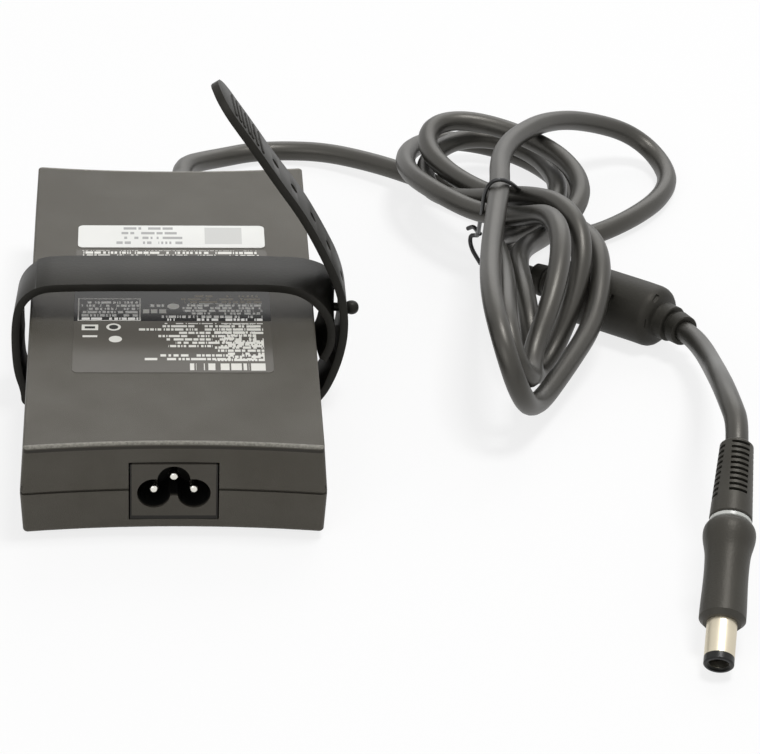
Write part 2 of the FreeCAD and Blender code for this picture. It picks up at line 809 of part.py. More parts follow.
def beside(edge, way):
    """Copy a line or an arc of the xz plane, moved sideways by a distance."""
    spots = []
    first, last = edge.FirstParameter, edge.LastParameter
    for part in (0.0, 0.5, 1.0):
        where = first + part * (last - first)
        tangent = edge.tangentAt(where)
        spots.append(edge.valueAt(where) + Vector(-tangent.z, 0, tangent.x) * way)
    if edge.Curve.TypeId == "Part::GeomLine":
        return Part.LineSegment(spots[0], spots[2]).toShape()
    return Part.Arc(*spots).toShape()


def strap_places(edges, count, pitch, start):
    """Points and outward directions at even steps along the band."""
    walk = Part.Wire(edges).discretize(2000)
    step = Part.Wire(edges).Length / 1999
    places = []
    for index in range(count):
        number = start + int(round(index * pitch / step))
        run = (walk[number + 1] - walk[number - 1]).normalize()
        places.append((walk[number], Vector(run.z, 0, -run.x), run))
    return places


def strap_start(edges):
    """Find the outer band's crossing of the stud's height."""
    walk = Part.Wire(edges).discretize(2000)
    height = size("strap_stud_height")
    found = [
        index for index, point in enumerate(walk)
        if index > 1000 and point.z <= height < walk[index + 1].z
    ]
    return found[0]


def cable_strap():
    """Thicken the band's line, pad it along y, cut its holes, add stud and ridges."""
    edges, radii = rounded_path(strap_line())
    print("strap bend radii", radii)
    half = size("strap_thick") / 2
    near_side = [beside(edge, half) for edge in edges]
    far_side = [beside(edge, -half) for edge in edges]
    caps = []
    for index in (0, -1):
        one = near_side[index].Vertexes[index].Point
        two = far_side[index].Vertexes[index].Point
        caps.append(Part.LineSegment(one, two).toShape())
    rim = Part.Wire(Part.__sortEdges__(near_side + far_side + caps))
    outline = doc.addObject("Part::Feature", "strap_outline")
    outline.Shape = Part.Face(rim)
    band = doc.addObject("Part::Extrusion", "strap_band")
    band.Base = outline
    band.DirMode = "Custom"
    band.Dir = Vector(0, 1, 0)
    band.Solid = True
    band.setExpression("LengthFwd", "Sizes.strap_width")
    doc.recompute()
    tip = strap_line()[-1]
    ends = doc.addObject("Part::Fillet", "strap_rounded")
    ends.Base = band
    ends.Edges = [
        (number, size("strap_tip_round"), size("strap_tip_round"))
        for number, edge in enumerate(band.Shape.Edges, start=1)
        if abs(edge.Length - 2 * half) < 0.01
        and (edge.CenterOfMass - Vector(tip.x, edge.CenterOfMass.y, tip.z)).Length < 1
    ]
    middle = size("strap_width") / 2
    start = strap_start(edges)
    shape = ends
    for index, (spot, out, run) in enumerate(
        strap_places(edges, 7, size("strap_hole_pitch"), start)
    ):
        hole = bound("Cylinder", "strap_hole_%d" % index, Radius="Sizes.strap_hole_dia / 2")
        hole.Height = 8
        origin = spot + Vector(0, middle, 0) - out * 4
        hole.Placement = Placement(origin, Rotation(Vector(0, 0, 1), out))
        if index == 0:
            hole.Height = 5
            hole.Placement.Base = spot + Vector(0, middle, 0) - out * 1.5
        shape = cut("strap_cut_%d" % index, shape, hole)
    spot, out, run = strap_places(edges, 1, 1, start)[0]
    root = spot + Vector(0, middle, 0) - Vector(size("strap_overlap") + 0.6, 0, 0)
    shank = bound("Cylinder", "stud_shank", Radius="Sizes.stud_dia / 2")
    shank.Height = BALL_X - root.x
    shank.Placement = Placement(root, Rotation(Vector(0, 0, 1), Vector(1, 0, 0)))
    ball = bound("Sphere", "stud_ball", Radius="Sizes.stud_ball_dia / 2")
    ball.Placement.Base = Vector(BALL_X, middle, spot.z)
    extras = [shape, shank, ball]
    length = Part.Wire(edges).Length
    step = length / 1999
    first_ridge = 1999 - int(17.0 / step)
    for index, (spot, out, run) in enumerate(strap_places(edges, 6, 2.6, first_ridge)):
        ridge = doc.addObject("Part::Box", "strap_ridge_%d" % index)
        ridge.Length, ridge.Width, ridge.Height = 0.9, size("strap_width") - 4.0, 0.8
        corner = spot + out * (half - 0.4) - run * 0.45 + Vector(0, 2.0, 0)
        turn = Rotation(run, Vector(0, 1, 0), out, "XYZ")
        ridge.Placement = Placement(corner, turn)
        extras.append(ridge)
    whole = doc.addObject("Part::MultiFuse", "strap_whole")
    whole.Shapes = extras
    shift = size("strap_near") - HALF_LENGTH
    whole.Placement = Placement(Vector(-ORIGIN_X, shift, 0), Rotation())
    return keep(whole, "cable_strap")


# Output cord. Its points are (x from the case's middle, y from the case's far
# end, z above the floor).
CORD_R = size("cord_dia") / 2
FLOOR = CORD_R + 0.1


def beyond(x, y, z):
    """A point of the cord's own frame in the model's frame."""
    return Vector(x - ORIGIN_X, y + HALF_LENGTH, z)


def shell_along(label, edges):
    """Sweep the cord's round section along joined edges."""
    path = Part.Wire(edges)
    first = edges[0]
    start = first.valueAt(first.FirstParameter)
    way = first.tangentAt(first.FirstParameter)
    ring = Part.Wire([Part.Circle(start, way, CORD_R).toShape()])
    thing = doc.addObject("Part::Feature", label + "_tube")
    thing.Shape = path.makePipeShell([ring], True, False)
    expected = math.pi * CORD_R * CORD_R * path.Length
    print(label, "length", round(path.Length, 1), "volume ratio",
          round(thing.Shape.Volume / expected, 4))
    return keep(thing, label)


def cord_run(label, spots, share=0.45):
    """A free length of cord: straight runs joined by tangent arcs."""
    edges, radii = rounded_path([beyond(*spot) for spot in spots], share)
    print(label, "bend radii", radii)
    shell_along(label, edges)
    return edges


# Hank: each turn passes eight places; every place moves by an even step a turn
HANK_TURNS = 3
HANK_PLACES = (
    # start point, step per turn, heading in plan, share of the arriving arcs
    ((119.6, 20.9, 3.0), (-2.66, -3.47, 7.79), 87.6, 1.0),
    ((97.8, 60.4, 5.1), (1.5, -7.53, 5.78), 149.5, 1.0),
    ((70.3, 41.7, 9.6), (4.19, -1.71, 5.46), 241.4, 1.0),
    ((94.3, -15.2, 23.1), (0.82, 9.37, -2.24), -24.1, 1.0),
    ((105.6, -43.1, 26.7), (6.07, 0.6, -2.73), 263.3, 1.0),
    ((94.3, -99.5, 18.4), (2.67, 6.61, -7.68), 243.3, 3.25),
    ((94.7, -45.1, 28.4), (-2.88, 6.56, -9.43), 96.9, 3.77),
    ((95.0, -10.7, 10.8), (9.55, -7.1, -0.1), 4.2, 1.0),
)
HANK_JOIN = ((101.0, 10.3, FLOOR), 0.0)
HANK_JOIN_SHARE = 0.52
HANK_LAST_CLIMB = (86.9, -63.2, 14.9)
HANK_END = ((89.3, -20.1, 32.2), 81.3)


def hank_keys():
    """Every place the hank passes, with its direction and arc share."""
    keys = [[beyond(*HANK_JOIN[0]), HANK_JOIN[1], 1.0]]
    for turn in range(HANK_TURNS):
        for number, (start, step, heading, share) in enumerate(HANK_PLACES):
            spot = [a + turn * b for a, b in zip(start, step)]
            if turn == HANK_TURNS - 1 and number == 6:
                spot = HANK_LAST_CLIMB
            if turn == HANK_TURNS - 1 and number == 7:
                continue
            keys.append([beyond(*spot), heading, share])
    keys[1][2] = HANK_JOIN_SHARE
    keys.append([beyond(*HANK_END[0]), HANK_END[1], 1.0])
    ready = []
    for number, (spot, heading, share) in enumerate(keys):
        climb = 0.0
        if 1 < number < len(keys) - 1:
            before = spot - keys[number - 1][0]
            after = keys[number + 1][0] - spot
            back = 1.15 * math.hypot(before.x, before.y)
            ahead = 1.15 * math.hypot(after.x, after.y)
            climb = (before.z / back * ahead + after.z / ahead * back) / (back + ahead)
        turn = math.radians(heading)
        way = Vector(math.cos(turn), math.sin(turn), climb).normalize()
        ready.append((spot, way, share))
    return ready


def arc_between(start, corner, end):
    """An arc from start to end, tangent to both runs that meet at a corner."""
    one = (corner - start).normalize()
    two = (end - corner).normalize()
    half = one.getAngle(two) / 2
    if half < 1e-5:
        return Part.LineSegment(start, end).toShape(), 1e6
    middle = (start + end) / 2
    bulge = middle + (corner - middle) * math.cos(half) / (1 + math.cos(half))
    return Part.Arc(start, bulge, end).toShape(), (corner - start).Length / math.tan(half)


def two_arcs(one, two):
    """Join two places by a pair of tangent arcs."""
    (start, leave, _), (end, arrive, share) = one, two
    span = end - start
    a = 2 * share * (leave.dot(arrive) - 1)
    b = -2 * (span.dot(arrive) + share * span.dot(leave))
    c = span.dot(span)
    root = math.sqrt(b * b - 4 * a * c)
    reach = min(x for x in ((-b + root) / (2 * a), (-b - root) / (2 * a)) if x > 0)
    first = start + leave * reach * share
    second = end - arrive * reach
    join = first + (second - first) * share / (1 + share)
    return [arc_between(start, first, join), arc_between(join, second, end)]


def cord_hank():
    """The tied hank as one unbroken tube of tangent arcs."""
    keys = hank_keys()
    edges = []
    radii = []
    for one, two in zip(keys[:-1], keys[1:]):
        for edge, radius in two_arcs(one, two):
            edges.append(edge)
            radii.append(round(radius, 1))
    print("cord_hank bend radii", radii)
    shell_along("cord_hank", edges)
    return edges


POINT_STEP = 1.0


def points_on(edges):
    """Points about one millimetre apart along joined edges."""
    path = Part.Wire(edges)
    return path.discretize(int(path.Length / POINT_STEP))


def least_gap(points, others, apart):
    """Least clear distance between points that are some way apart along a cord."""
    least = min(
        point.distanceToPoint(other)
        for number, point in enumerate(points)
        for other in others[max(0, number + apart):]
    )
    return round(least - size("cord_dia"), 2)


# Ferrite, its axis level, and the cord's way round to it
FERRITE_MID = beyond(122.0, -46.3, size("ferrite_dia") / 2)
FERRITE_WAY = Vector(0.82, -0.575, 0).normalize()


def on_ferrite(along):
    """A point of the ferrite's axis, measured from its middle."""
    return FERRITE_MID + FERRITE_WAY * along


def spun(name, profile, origin, way):
    """Turn a closed profile about an axis; a list inside it is a smooth run."""
    edges = []
    last = None
    for item in profile + [profile[0]]:
        run = [Vector(a, r, 0) for a, r in item] if isinstance(item, list) else [Vector(*item, 0)]
        if last is not None and (run[0] - last).Length > 1e-6:
            edges.append(Part.LineSegment(last, run[0]).toShape())
        if len(run) > 1:
            curve = Part.BSplineCurve()
            curve.interpolate(run)
            edges.append(curve.toShape())
        last = run[-1]
    face = doc.addObject("Part::Feature", name + "_profile")
    face.Shape = Part.Face(Part.Wire(edges))
    turned = doc.addObject("Part::Revolution", name)
    turned.Source = face
    turned.Axis = Vector(1, 0, 0)
    turned.Angle = 360.0
    turned.Placement = Placement(origin, Rotation(Vector(1, 0, 0), way))
    return turned


def mirrored(profile):
    """The same profile the other way round, from its last point to its first."""
    return [
        [(-along, radius) for along, radius in reversed(item)] if isinstance(item, list)
        else (-item[0], item[1])
        for item in reversed(profile)
    ]


def ferrite():
    """The ferrite's moulded cover with its two necks, and the core in it."""
    half = size("ferrite_length") / 2
    neck = size("ferrite_neck_length")
    body = size("ferrite_dia") / 2
    ring = size("ferrite_neck_dia") / 2
    groove = ring - 0.9
    core_half = size("ferrite_core_length") / 2
    core = size("ferrite_core_dia") / 2
    bore = CORD_R + size("fit_gap")
    gap = size("fit_gap")
    outside = [
        (-half - neck, bore), (-half - neck, ring - 0.4), (-half - neck + 0.4, ring),
        (-half - 5.2, ring), (-half - 5.2, groove), (-half - 3.4, groove), (-half - 3.4, ring),
        (-half - 1.2, ring + 0.4), (-half - 1.2, ring - 0.4), (-half, ring - 0.4),
        [(-half, body - 3.0), (-half + 0.4, body - 1.5), (-half + 1.5, body - 0.4),
         (-half + 3.0, body)],
    ]
    outside += mirrored(outside)
    skin = spun("ferrite_skin", outside, FERRITE_MID, FERRITE_WAY)
    hollow = spun(
        "ferrite_hollow",
        [(-core_half - gap, 0), (-core_half - gap, core + gap),
         (core_half + gap, core + gap), (core_half + gap, 0)],
        FERRITE_MID, FERRITE_WAY,
    )
    keep(cut("ferrite_shell", skin, hollow), "ferrite_cover")
    core_ring = spun(
        "ferrite_ring",
        [(-core_half, bore), (-core_half, core - 0.6), (-core_half + 0.6, core),
         (core_half - 0.6, core), (core_half, core - 0.6), (core_half, bore)],
        FERRITE_MID, FERRITE_WAY,
    )
    keep(core_ring, "ferrite_core")
    reach = half + neck
    run = doc.addObject("Part::Cylinder", "cord_in_ferrite_run")
    run.Radius = CORD_R
    run.Height = 2 * reach
    turn = Rotation(Vector(0, 0, 1), FERRITE_WAY)
    run.Placement = Placement(on_ferrite(-reach), turn)
    keep(run, "cord_in_ferrite")
    return on_ferrite(-reach), on_ferrite(reach)


def back(point):
    """A point of the model's frame in the cord's own frame."""
    return (point.x + ORIGIN_X, point.y - HALF_LENGTH, point.z)


# Plug: the stiff cord holds its cable end up, and its tip rests on the floor
PLUG_WAY = Vector(-0.16, -0.886, -0.434).normalize()
PLUG_START = beyond(138.7, -159.4, 30.7)
PLUG_ROLL = -15.0
BOOT_SLOTS = 10
SLOT_PITCH = 1.6


def on_plug(along):
    """A point of the plug's axis, measured from the start of its relief."""
    return PLUG_START + PLUG_WAY * along


def plug():
    """The plug: slotted relief, ring, grip, barrel, its tip and its contacts."""
    relief = size("plug_relief_length")
    ring = size("plug_ring_length")
    body = size("plug_body_length")
    thin = size("plug_relief_tip_dia") / 2
    thick = size("plug_relief_dia") / 2
    boot = spun(
        "plug_boot",
        [(0, 0), (0, thin - 0.7), (0.7, thin), (relief - 0.3, thick), (relief, thick - 0.3),
         (relief, 0)],
        PLUG_START, PLUG_WAY,
    )
    slots = []
    flat = Vector(-PLUG_WAY.y, PLUG_WAY.x, 0).normalize()
    above = flat.cross(PLUG_WAY).normalize()
    if above.z < 0:
        above = above * -1
    for index in range(BOOT_SLOTS):
        for quarter in range(4):
            spin = Rotation(PLUG_WAY, PLUG_ROLL + 90.0 * quarter)
            out = spin.multVec(above)
            slot = doc.addObject("Part::Box", "slot_%d_%d" % (index, quarter))
            slot.Length, slot.Width, slot.Height = SLOT_PITCH / 2, 4.6, 3.0
            reach = SLOT_PITCH * (1 + index + (0.5 if quarter % 2 else 0.0))
            turn = Rotation(PLUG_WAY, Vector(), out, "ZXY")
            place = on_plug(reach) + out * (CORD_R + 0.3)
            corner = turn.multVec(Vector(-slot.Length.Value / 2, -slot.Width.Value / 2, 0))
            slot.Placement = Placement(place + corner, turn)
            slots.append(slot)
    group = doc.addObject("Part::Compound", "boot_slots")
    group.Links = slots
    keep(cut("plug_boot_cut", boot, group), "plug_relief")
    half_ring = size("plug_ring_dia") / 2
    collar = spun(
        "ring_turned",
        [(0, 0), (0, half_ring - 0.4), (0.4, half_ring), (ring - 0.4, half_ring),
         (ring, half_ring - 0.4), (ring, 0)],
        on_plug(relief), PLUG_WAY,
    )
    keep(collar, "plug_ring")
    start = relief + ring
    wide = size("plug_body_dia") / 2
    waist = size("plug_waist_dia") / 2
    grip = spun(
        "grip_turned",
        [(0, 0), (0, waist - 0.5),
         [(0.0, waist - 0.2), (1.2, wide - 0.3), (3.0, wide), (5.5, wide - 0.3),
          (8.0, waist + 0.2), (10.5, waist), (18.0, waist), (body - 1.2, waist + 0.2)],
         (body, waist - 0.9), (body, 0)],
        on_plug(start), PLUG_WAY,
    )
    barrel_r = size("barrel_dia") / 2
    shank_r = size("barrel_shank_dia") / 2
    seat_deep = size("barrel_seat")
    pocket_hole = spun(
        "grip_hole",
        [(body - seat_deep, 0), (body - seat_deep, shank_r), (body + 1, shank_r),
         (body + 1, 0)],
        on_plug(start), PLUG_WAY,
    )
    keep(cut("grip_cut", grip, pocket_hole), "plug_body")
    mouth = start + body
    long = size("barrel_length")
    tip = size("tip_length")
    wall_in = shank_r - 0.3
    tube = spun(
        "barrel_turned",
        [(-seat_deep, wall_in), (-seat_deep, shank_r), (0, shank_r), (0, barrel_r),
         (long - tip, barrel_r), (long - tip, wall_in)],
        on_plug(mouth), PLUG_WAY,
    )
    keep(tube, "barrel")
    bore = size("barrel_bore") / 2
    sleeve = bore + 0.3
    gap = 0.05
    liner = spun(
        "tip_turned",
        [(-seat_deep, 0.0), (-seat_deep, wall_in - gap), (long - tip, wall_in - gap),
         (long - tip, barrel_r), (long - 0.3, barrel_r), (long, barrel_r - 0.3),
         (long, sleeve + gap), (-seat_deep + 3.0, sleeve + gap), (-seat_deep + 3.0, 0.0)],
        on_plug(mouth), PLUG_WAY,
    )
    pin_r = size("centre_pin_dia") / 2
    pin_hole = spun(
        "tip_hole",
        [(-seat_deep - 1, 0), (-seat_deep - 1, pin_r), (-seat_deep + 4, pin_r),
         (-seat_deep + 4, 0)],
        on_plug(mouth), PLUG_WAY,
    )
    keep(cut("tip_cut", liner, pin_hole), "barrel_tip")
    inner = spun(
        "contact_turned",
        [(-seat_deep + 3.0, bore), (-seat_deep + 3.0, sleeve), (long - 0.8, sleeve),
         (long - 0.8, bore)],
        on_plug(mouth), PLUG_WAY,
    )
    keep(inner, "plug_contact")
    pin = spun(
        "pin_turned",
        [(-seat_deep, 0), (-seat_deep, pin_r), (long - 2.2, pin_r), (long - 1.8, 0.1),
         (long - 1.8, 0)],
        on_plug(mouth), PLUG_WAY,
    )
    keep(pin, "centre_pin")


def cord_relief():
    """The case's own strain relief: a collar inside the wall and a ringed taper."""
    wall_y = HALF_LENGTH - size("end_sag")
    wall = size("wall")
    collar = size("relief_collar_dia") / 2
    root = size("relief_root_dia") / 2
    tip = size("relief_tip_dia") / 2
    long = size("relief_length")
    inner = -wall - size("relief_collar_step")
    behind = -wall - size("fit_gap")
    profile = [(inner, 0), (inner, collar), (behind, collar), (behind, root), (1.0, root)]
    count = 5
    for index in range(count):
        along = 3.0 + index * (long - 6.0) / count
        radius = root + (tip - root) * along / long
        profile += [(along, radius), (along, radius - 0.8), (along + 1.4, radius - 0.85),
                    (along + 1.4, radius - 0.05)]
    profile += [(long, tip), (long, 0)]
    origin = Vector(-ORIGIN_X, wall_y, size("parting_height") + CASE_LIFT)
    return keep(spun("relief_turned", profile, origin, Vector(0, 1, 0)), "cord_relief")


def cord():
    """The free cord, from the relief's tip to the plug."""
    z = size("parting_height") + CASE_LIFT
    near = size("relief_length") - size("end_sag")
    join = HANK_JOIN[0]
    cord_run("cord_lead", [
        (0, near, z), (0, near + 5.0, z), (1.0, near + 12.0, z - 2.3), (4.5, 41.5, 8.2),
        (10.0, 49.5, 4.8), (18.0, 55.5, FLOOR), (28.0, 59.0, FLOOR), (40.0, 59.8, FLOOR),
        (51.0, 56.5, FLOOR), (61.0, 49.5, FLOOR), (70.0, 38.0, FLOOR), (78.5, 25.5, FLOOR),
        (86.5, 15.0, FLOOR), (93.5, join[1], FLOOR), join,
    ])
    hank = points_on(cord_hank())
    print("cord_hank least gap to itself", least_gap(hank, hank, 15))
    left, right = ferrite()
    end, heading = HANK_END
    turn = math.radians(heading)
    ahead = (end[0] + 8 * math.cos(turn), end[1] + 8 * math.sin(turn), end[2])
    lead_in = FERRITE_WAY * 6
    loop = cord_run("cord_loop", [
        end, ahead, (92.8, -2.5, 31.6), (95.8, 7.5, 30.4), (100.3, 19.5, 28.4),
        (106.9, 33.8, 25.1), (115.7, 49.3, 19.3), (125.8, 60.2, 12.2), (135.5, 66.0, 6.8),
        (143.0, 62.5, 3.6), (146.6, 54.5, FLOOR), (147.4, 44.0, FLOOR), (146.0, 32.0, FLOOR),
        (141.0, 20.5, FLOOR), (132.5, 10.5, FLOOR), (123.0, 3.5, FLOOR), (113.0, 0.6, FLOOR),
        (102.5, 0.0, FLOOR), (92.5, -0.5, FLOOR), (85.0, -6.0, 3.2), (83.0, -15.0, 4.0),
        (87.0, -23.2, 6.0), back(left - lead_in), back(left),
    ])
    away = [point for point in points_on(loop) if (point - beyond(*end)).Length > 25]
    print("cord_loop least gap to the hank", least_gap(hank, away, -len(hank)))
    after = right + FERRITE_WAY * 4
    cord_run("cord_tail", [
        back(right), back(after), (147.4, -68.8, 10.4), (146.6, -77.5, 13.2),
        (145.3, -92.0, 18.2), (143.9, -108.5, 24.4), (142.5, -124.5, 30.3),
        (141.3, -137.5, 34.4), (140.4, -147.3, 35.3),
        back(PLUG_START - PLUG_WAY * 6), back(PLUG_START),
    ])


TIE_LINE = (
    (86.0, -5.0, 9.0), (83.9, -9.6, 14.3), (82.8, -12.6, 19.7), (83.1, -13.7, 25.6),
    (84.9, -12.9, 31.0), (88.0, -11.2, 35.3), (91.0, -9.6, 36.5), (94.6, -7.9, 34.8),
    (98.2, -6.1, 31.0), (101.4, -4.2, 26.5),
)


def twist_tie():
    """A wire tie round the hank's waist, its two ends twisted and let lie."""
    edges, radii = rounded_path([beyond(*spot) for spot in TIE_LINE])
    print("twist_tie bend radii", radii)
    path = Part.Wire(edges)
    way = edges[0].tangentAt(edges[0].FirstParameter)
    start = edges[0].valueAt(edges[0].FirstParameter)
    ring = Part.Wire([Part.Circle(start, way, size("tie_dia") / 2).toShape()])
    thing = doc.addObject("Part::Feature", "tie_wire")
    thing.Shape = path.makePipeShell([ring], True, False)
    return keep(thing, "twist_tie")


labels()
cable_strap()
cord_relief()
cord()
plug()
twist_tie()
doc.recompute()


def bad_state(thing):
    """Tell whether an object failed to compute."""
    return "Invalid" in thing.State or "Error" in thing.State


# Every object and every piece is sound before anything is written
for thing in doc.Objects:
    if bad_state(thing):
        raise RuntimeError("%s is in state %s" % (thing.Label, thing.State))
for piece in parts:
    if piece.Shape.isNull() or not piece.Shape.isValid() or not piece.Shape.Solids:
        raise RuntimeError("%s has no sound shape" % piece.Label)

os.makedirs("parts", exist_ok=True)
for piece in parts:
    piece.Shape.exportStep("parts/%s.step" % piece.Label)
print("pieces written:", len(parts))
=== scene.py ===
import math

import bpy
from mathutils import Matrix, Quaternion, Vector


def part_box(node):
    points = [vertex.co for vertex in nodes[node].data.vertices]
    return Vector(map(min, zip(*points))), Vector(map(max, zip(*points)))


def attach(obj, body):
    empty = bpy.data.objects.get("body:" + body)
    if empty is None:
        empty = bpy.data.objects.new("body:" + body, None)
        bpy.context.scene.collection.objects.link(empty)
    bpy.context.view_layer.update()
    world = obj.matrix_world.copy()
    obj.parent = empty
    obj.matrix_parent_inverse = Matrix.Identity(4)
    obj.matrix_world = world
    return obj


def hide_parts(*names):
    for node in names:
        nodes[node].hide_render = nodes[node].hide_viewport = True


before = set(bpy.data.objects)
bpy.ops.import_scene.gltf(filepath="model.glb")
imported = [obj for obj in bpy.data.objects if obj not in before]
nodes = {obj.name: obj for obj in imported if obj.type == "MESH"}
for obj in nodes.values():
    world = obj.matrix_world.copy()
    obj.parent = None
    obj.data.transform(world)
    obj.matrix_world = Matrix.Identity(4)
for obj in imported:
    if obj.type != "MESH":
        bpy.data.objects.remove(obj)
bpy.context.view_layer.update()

MM = 0.001
CASE_MIDDLE_X = -4.25  # the model's x at the middle of the case, in millimetres
CASE_FAR_Y = 77.35  # the model's y at the case's far end, in millimetres


# Camera, lamps and the pale floor
WHITE = (1.0, 1.0, 1.0, 1.0)
SKY_STRENGTH = 0.32
LAMP_AIM = (0.04, 0.0, 0.0)
LAMPS = {  # place, side in metres and power in watts
    "top_lamp": ((0.35, 0.0, 1.5), 0.42, 13.0),
    "front_lamp": ((-0.7, -1.3, 0.9), 0.9, 5.0),
    "back_lamp": ((0.4, 1.4, 1.0), 1.2, 7.0),
}
FLOOR_SIDE = 8.0
FLOOR_DROP = 0.0002
FLOOR_PAPER = (0.9, 0.9, 0.9, 1.0)
FLOOR_GLOW = 0.8  # the rest of what is seen is the paper with its shadow


def photo_camera():
    """The camera at the photograph's angle."""
    lens = bpy.data.cameras.new("photo_camera")
    lens.sensor_fit = "HORIZONTAL"
    lens.sensor_width = 36.0
    lens.lens = 170.58
    lens.clip_start = 0.01
    camera = bpy.data.objects.new("photo_camera", lens)
    camera.location = (-0.011629, -0.837170, 0.486372)
    camera.rotation_euler = (1.0477740, -0.0332930, -0.0562717)
    bpy.context.scene.collection.objects.link(camera)
    bpy.context.scene.camera = camera


def soft_lamp(name, place, side, power):
    """A large soft lamp that looks at the middle of the object."""
    light = bpy.data.lights.new(name, "AREA")
    light.shape = "SQUARE"
    light.size = side
    light.energy = power
    lamp = bpy.data.objects.new(name, light)
    lamp.location = place
    aim = Vector(LAMP_AIM) - Vector(place)
    lamp.rotation_euler = aim.to_track_quat("-Z", "Y").to_euler()
    bpy.context.scene.collection.objects.link(lamp)


def white_when_seen(tree, plain, glow, output, share):
    """Lay a share of white glow over a shader, as the camera, gloss or glass sees it."""
    reckon = reckoner(tree)
    rays = tree.nodes.new("ShaderNodeLightPath").outputs
    seen = reckon("MAXIMUM", rays["Is Camera Ray"], rays["Is Glossy Ray"])
    seen = reckon("MAXIMUM", seen, rays["Is Transmission Ray"])
    mix = tree.nodes.new("ShaderNodeMixShader")
    tree.links.new(reckon("MULTIPLY", seen, share), mix.inputs[0])
    tree.links.new(plain.outputs[0], mix.inputs[1])
    tree.links.new(glow.outputs[0], mix.inputs[2])
    tree.links.new(mix.outputs[0], output.inputs["Surface"])


def studio():
    """A white room: even sky, three soft lamps and a floor that keeps the shadow."""
    scene = bpy.context.scene
    scene.view_settings.view_transform = "Standard"
    world = bpy.data.worlds.new("studio_sky")
    world.use_nodes = True
    tree = world.node_tree
    sky = tree.nodes["Background"]
    sky.inputs["Color"].default_value = WHITE
    sky.inputs["Strength"].default_value = SKY_STRENGTH
    glow = tree.nodes.new("ShaderNodeBackground")
    glow.inputs["Color"].default_value = WHITE
    white_when_seen(tree, sky, glow, tree.nodes["World Output"], 1.0)
    scene.world = world
    for name, (place, side, power) in LAMPS.items():
        soft_lamp(name, place, side, power)

    let_go()
    bpy.ops.mesh.primitive_plane_add(size=FLOOR_SIDE, location=(0, 0, -FLOOR_DROP))
    floor = bpy.context.object
    floor.name = "studio_floor"
    paper = bpy.data.materials.new("floor_paper")
    paper.use_nodes = True
    tree = paper.node_tree
    matt = tree.nodes["Principled BSDF"]
    matt.inputs["Base Color"].default_value = FLOOR_PAPER
    matt.inputs["Roughness"].default_value = 0.9
    glow = tree.nodes.new("ShaderNodeEmission")
    glow.inputs["Color"].default_value = WHITE
    white_when_seen(tree, matt, glow, tree.nodes["Material Output"], FLOOR_GLOW)
    floor.data.materials.append(paper)
    let_go()


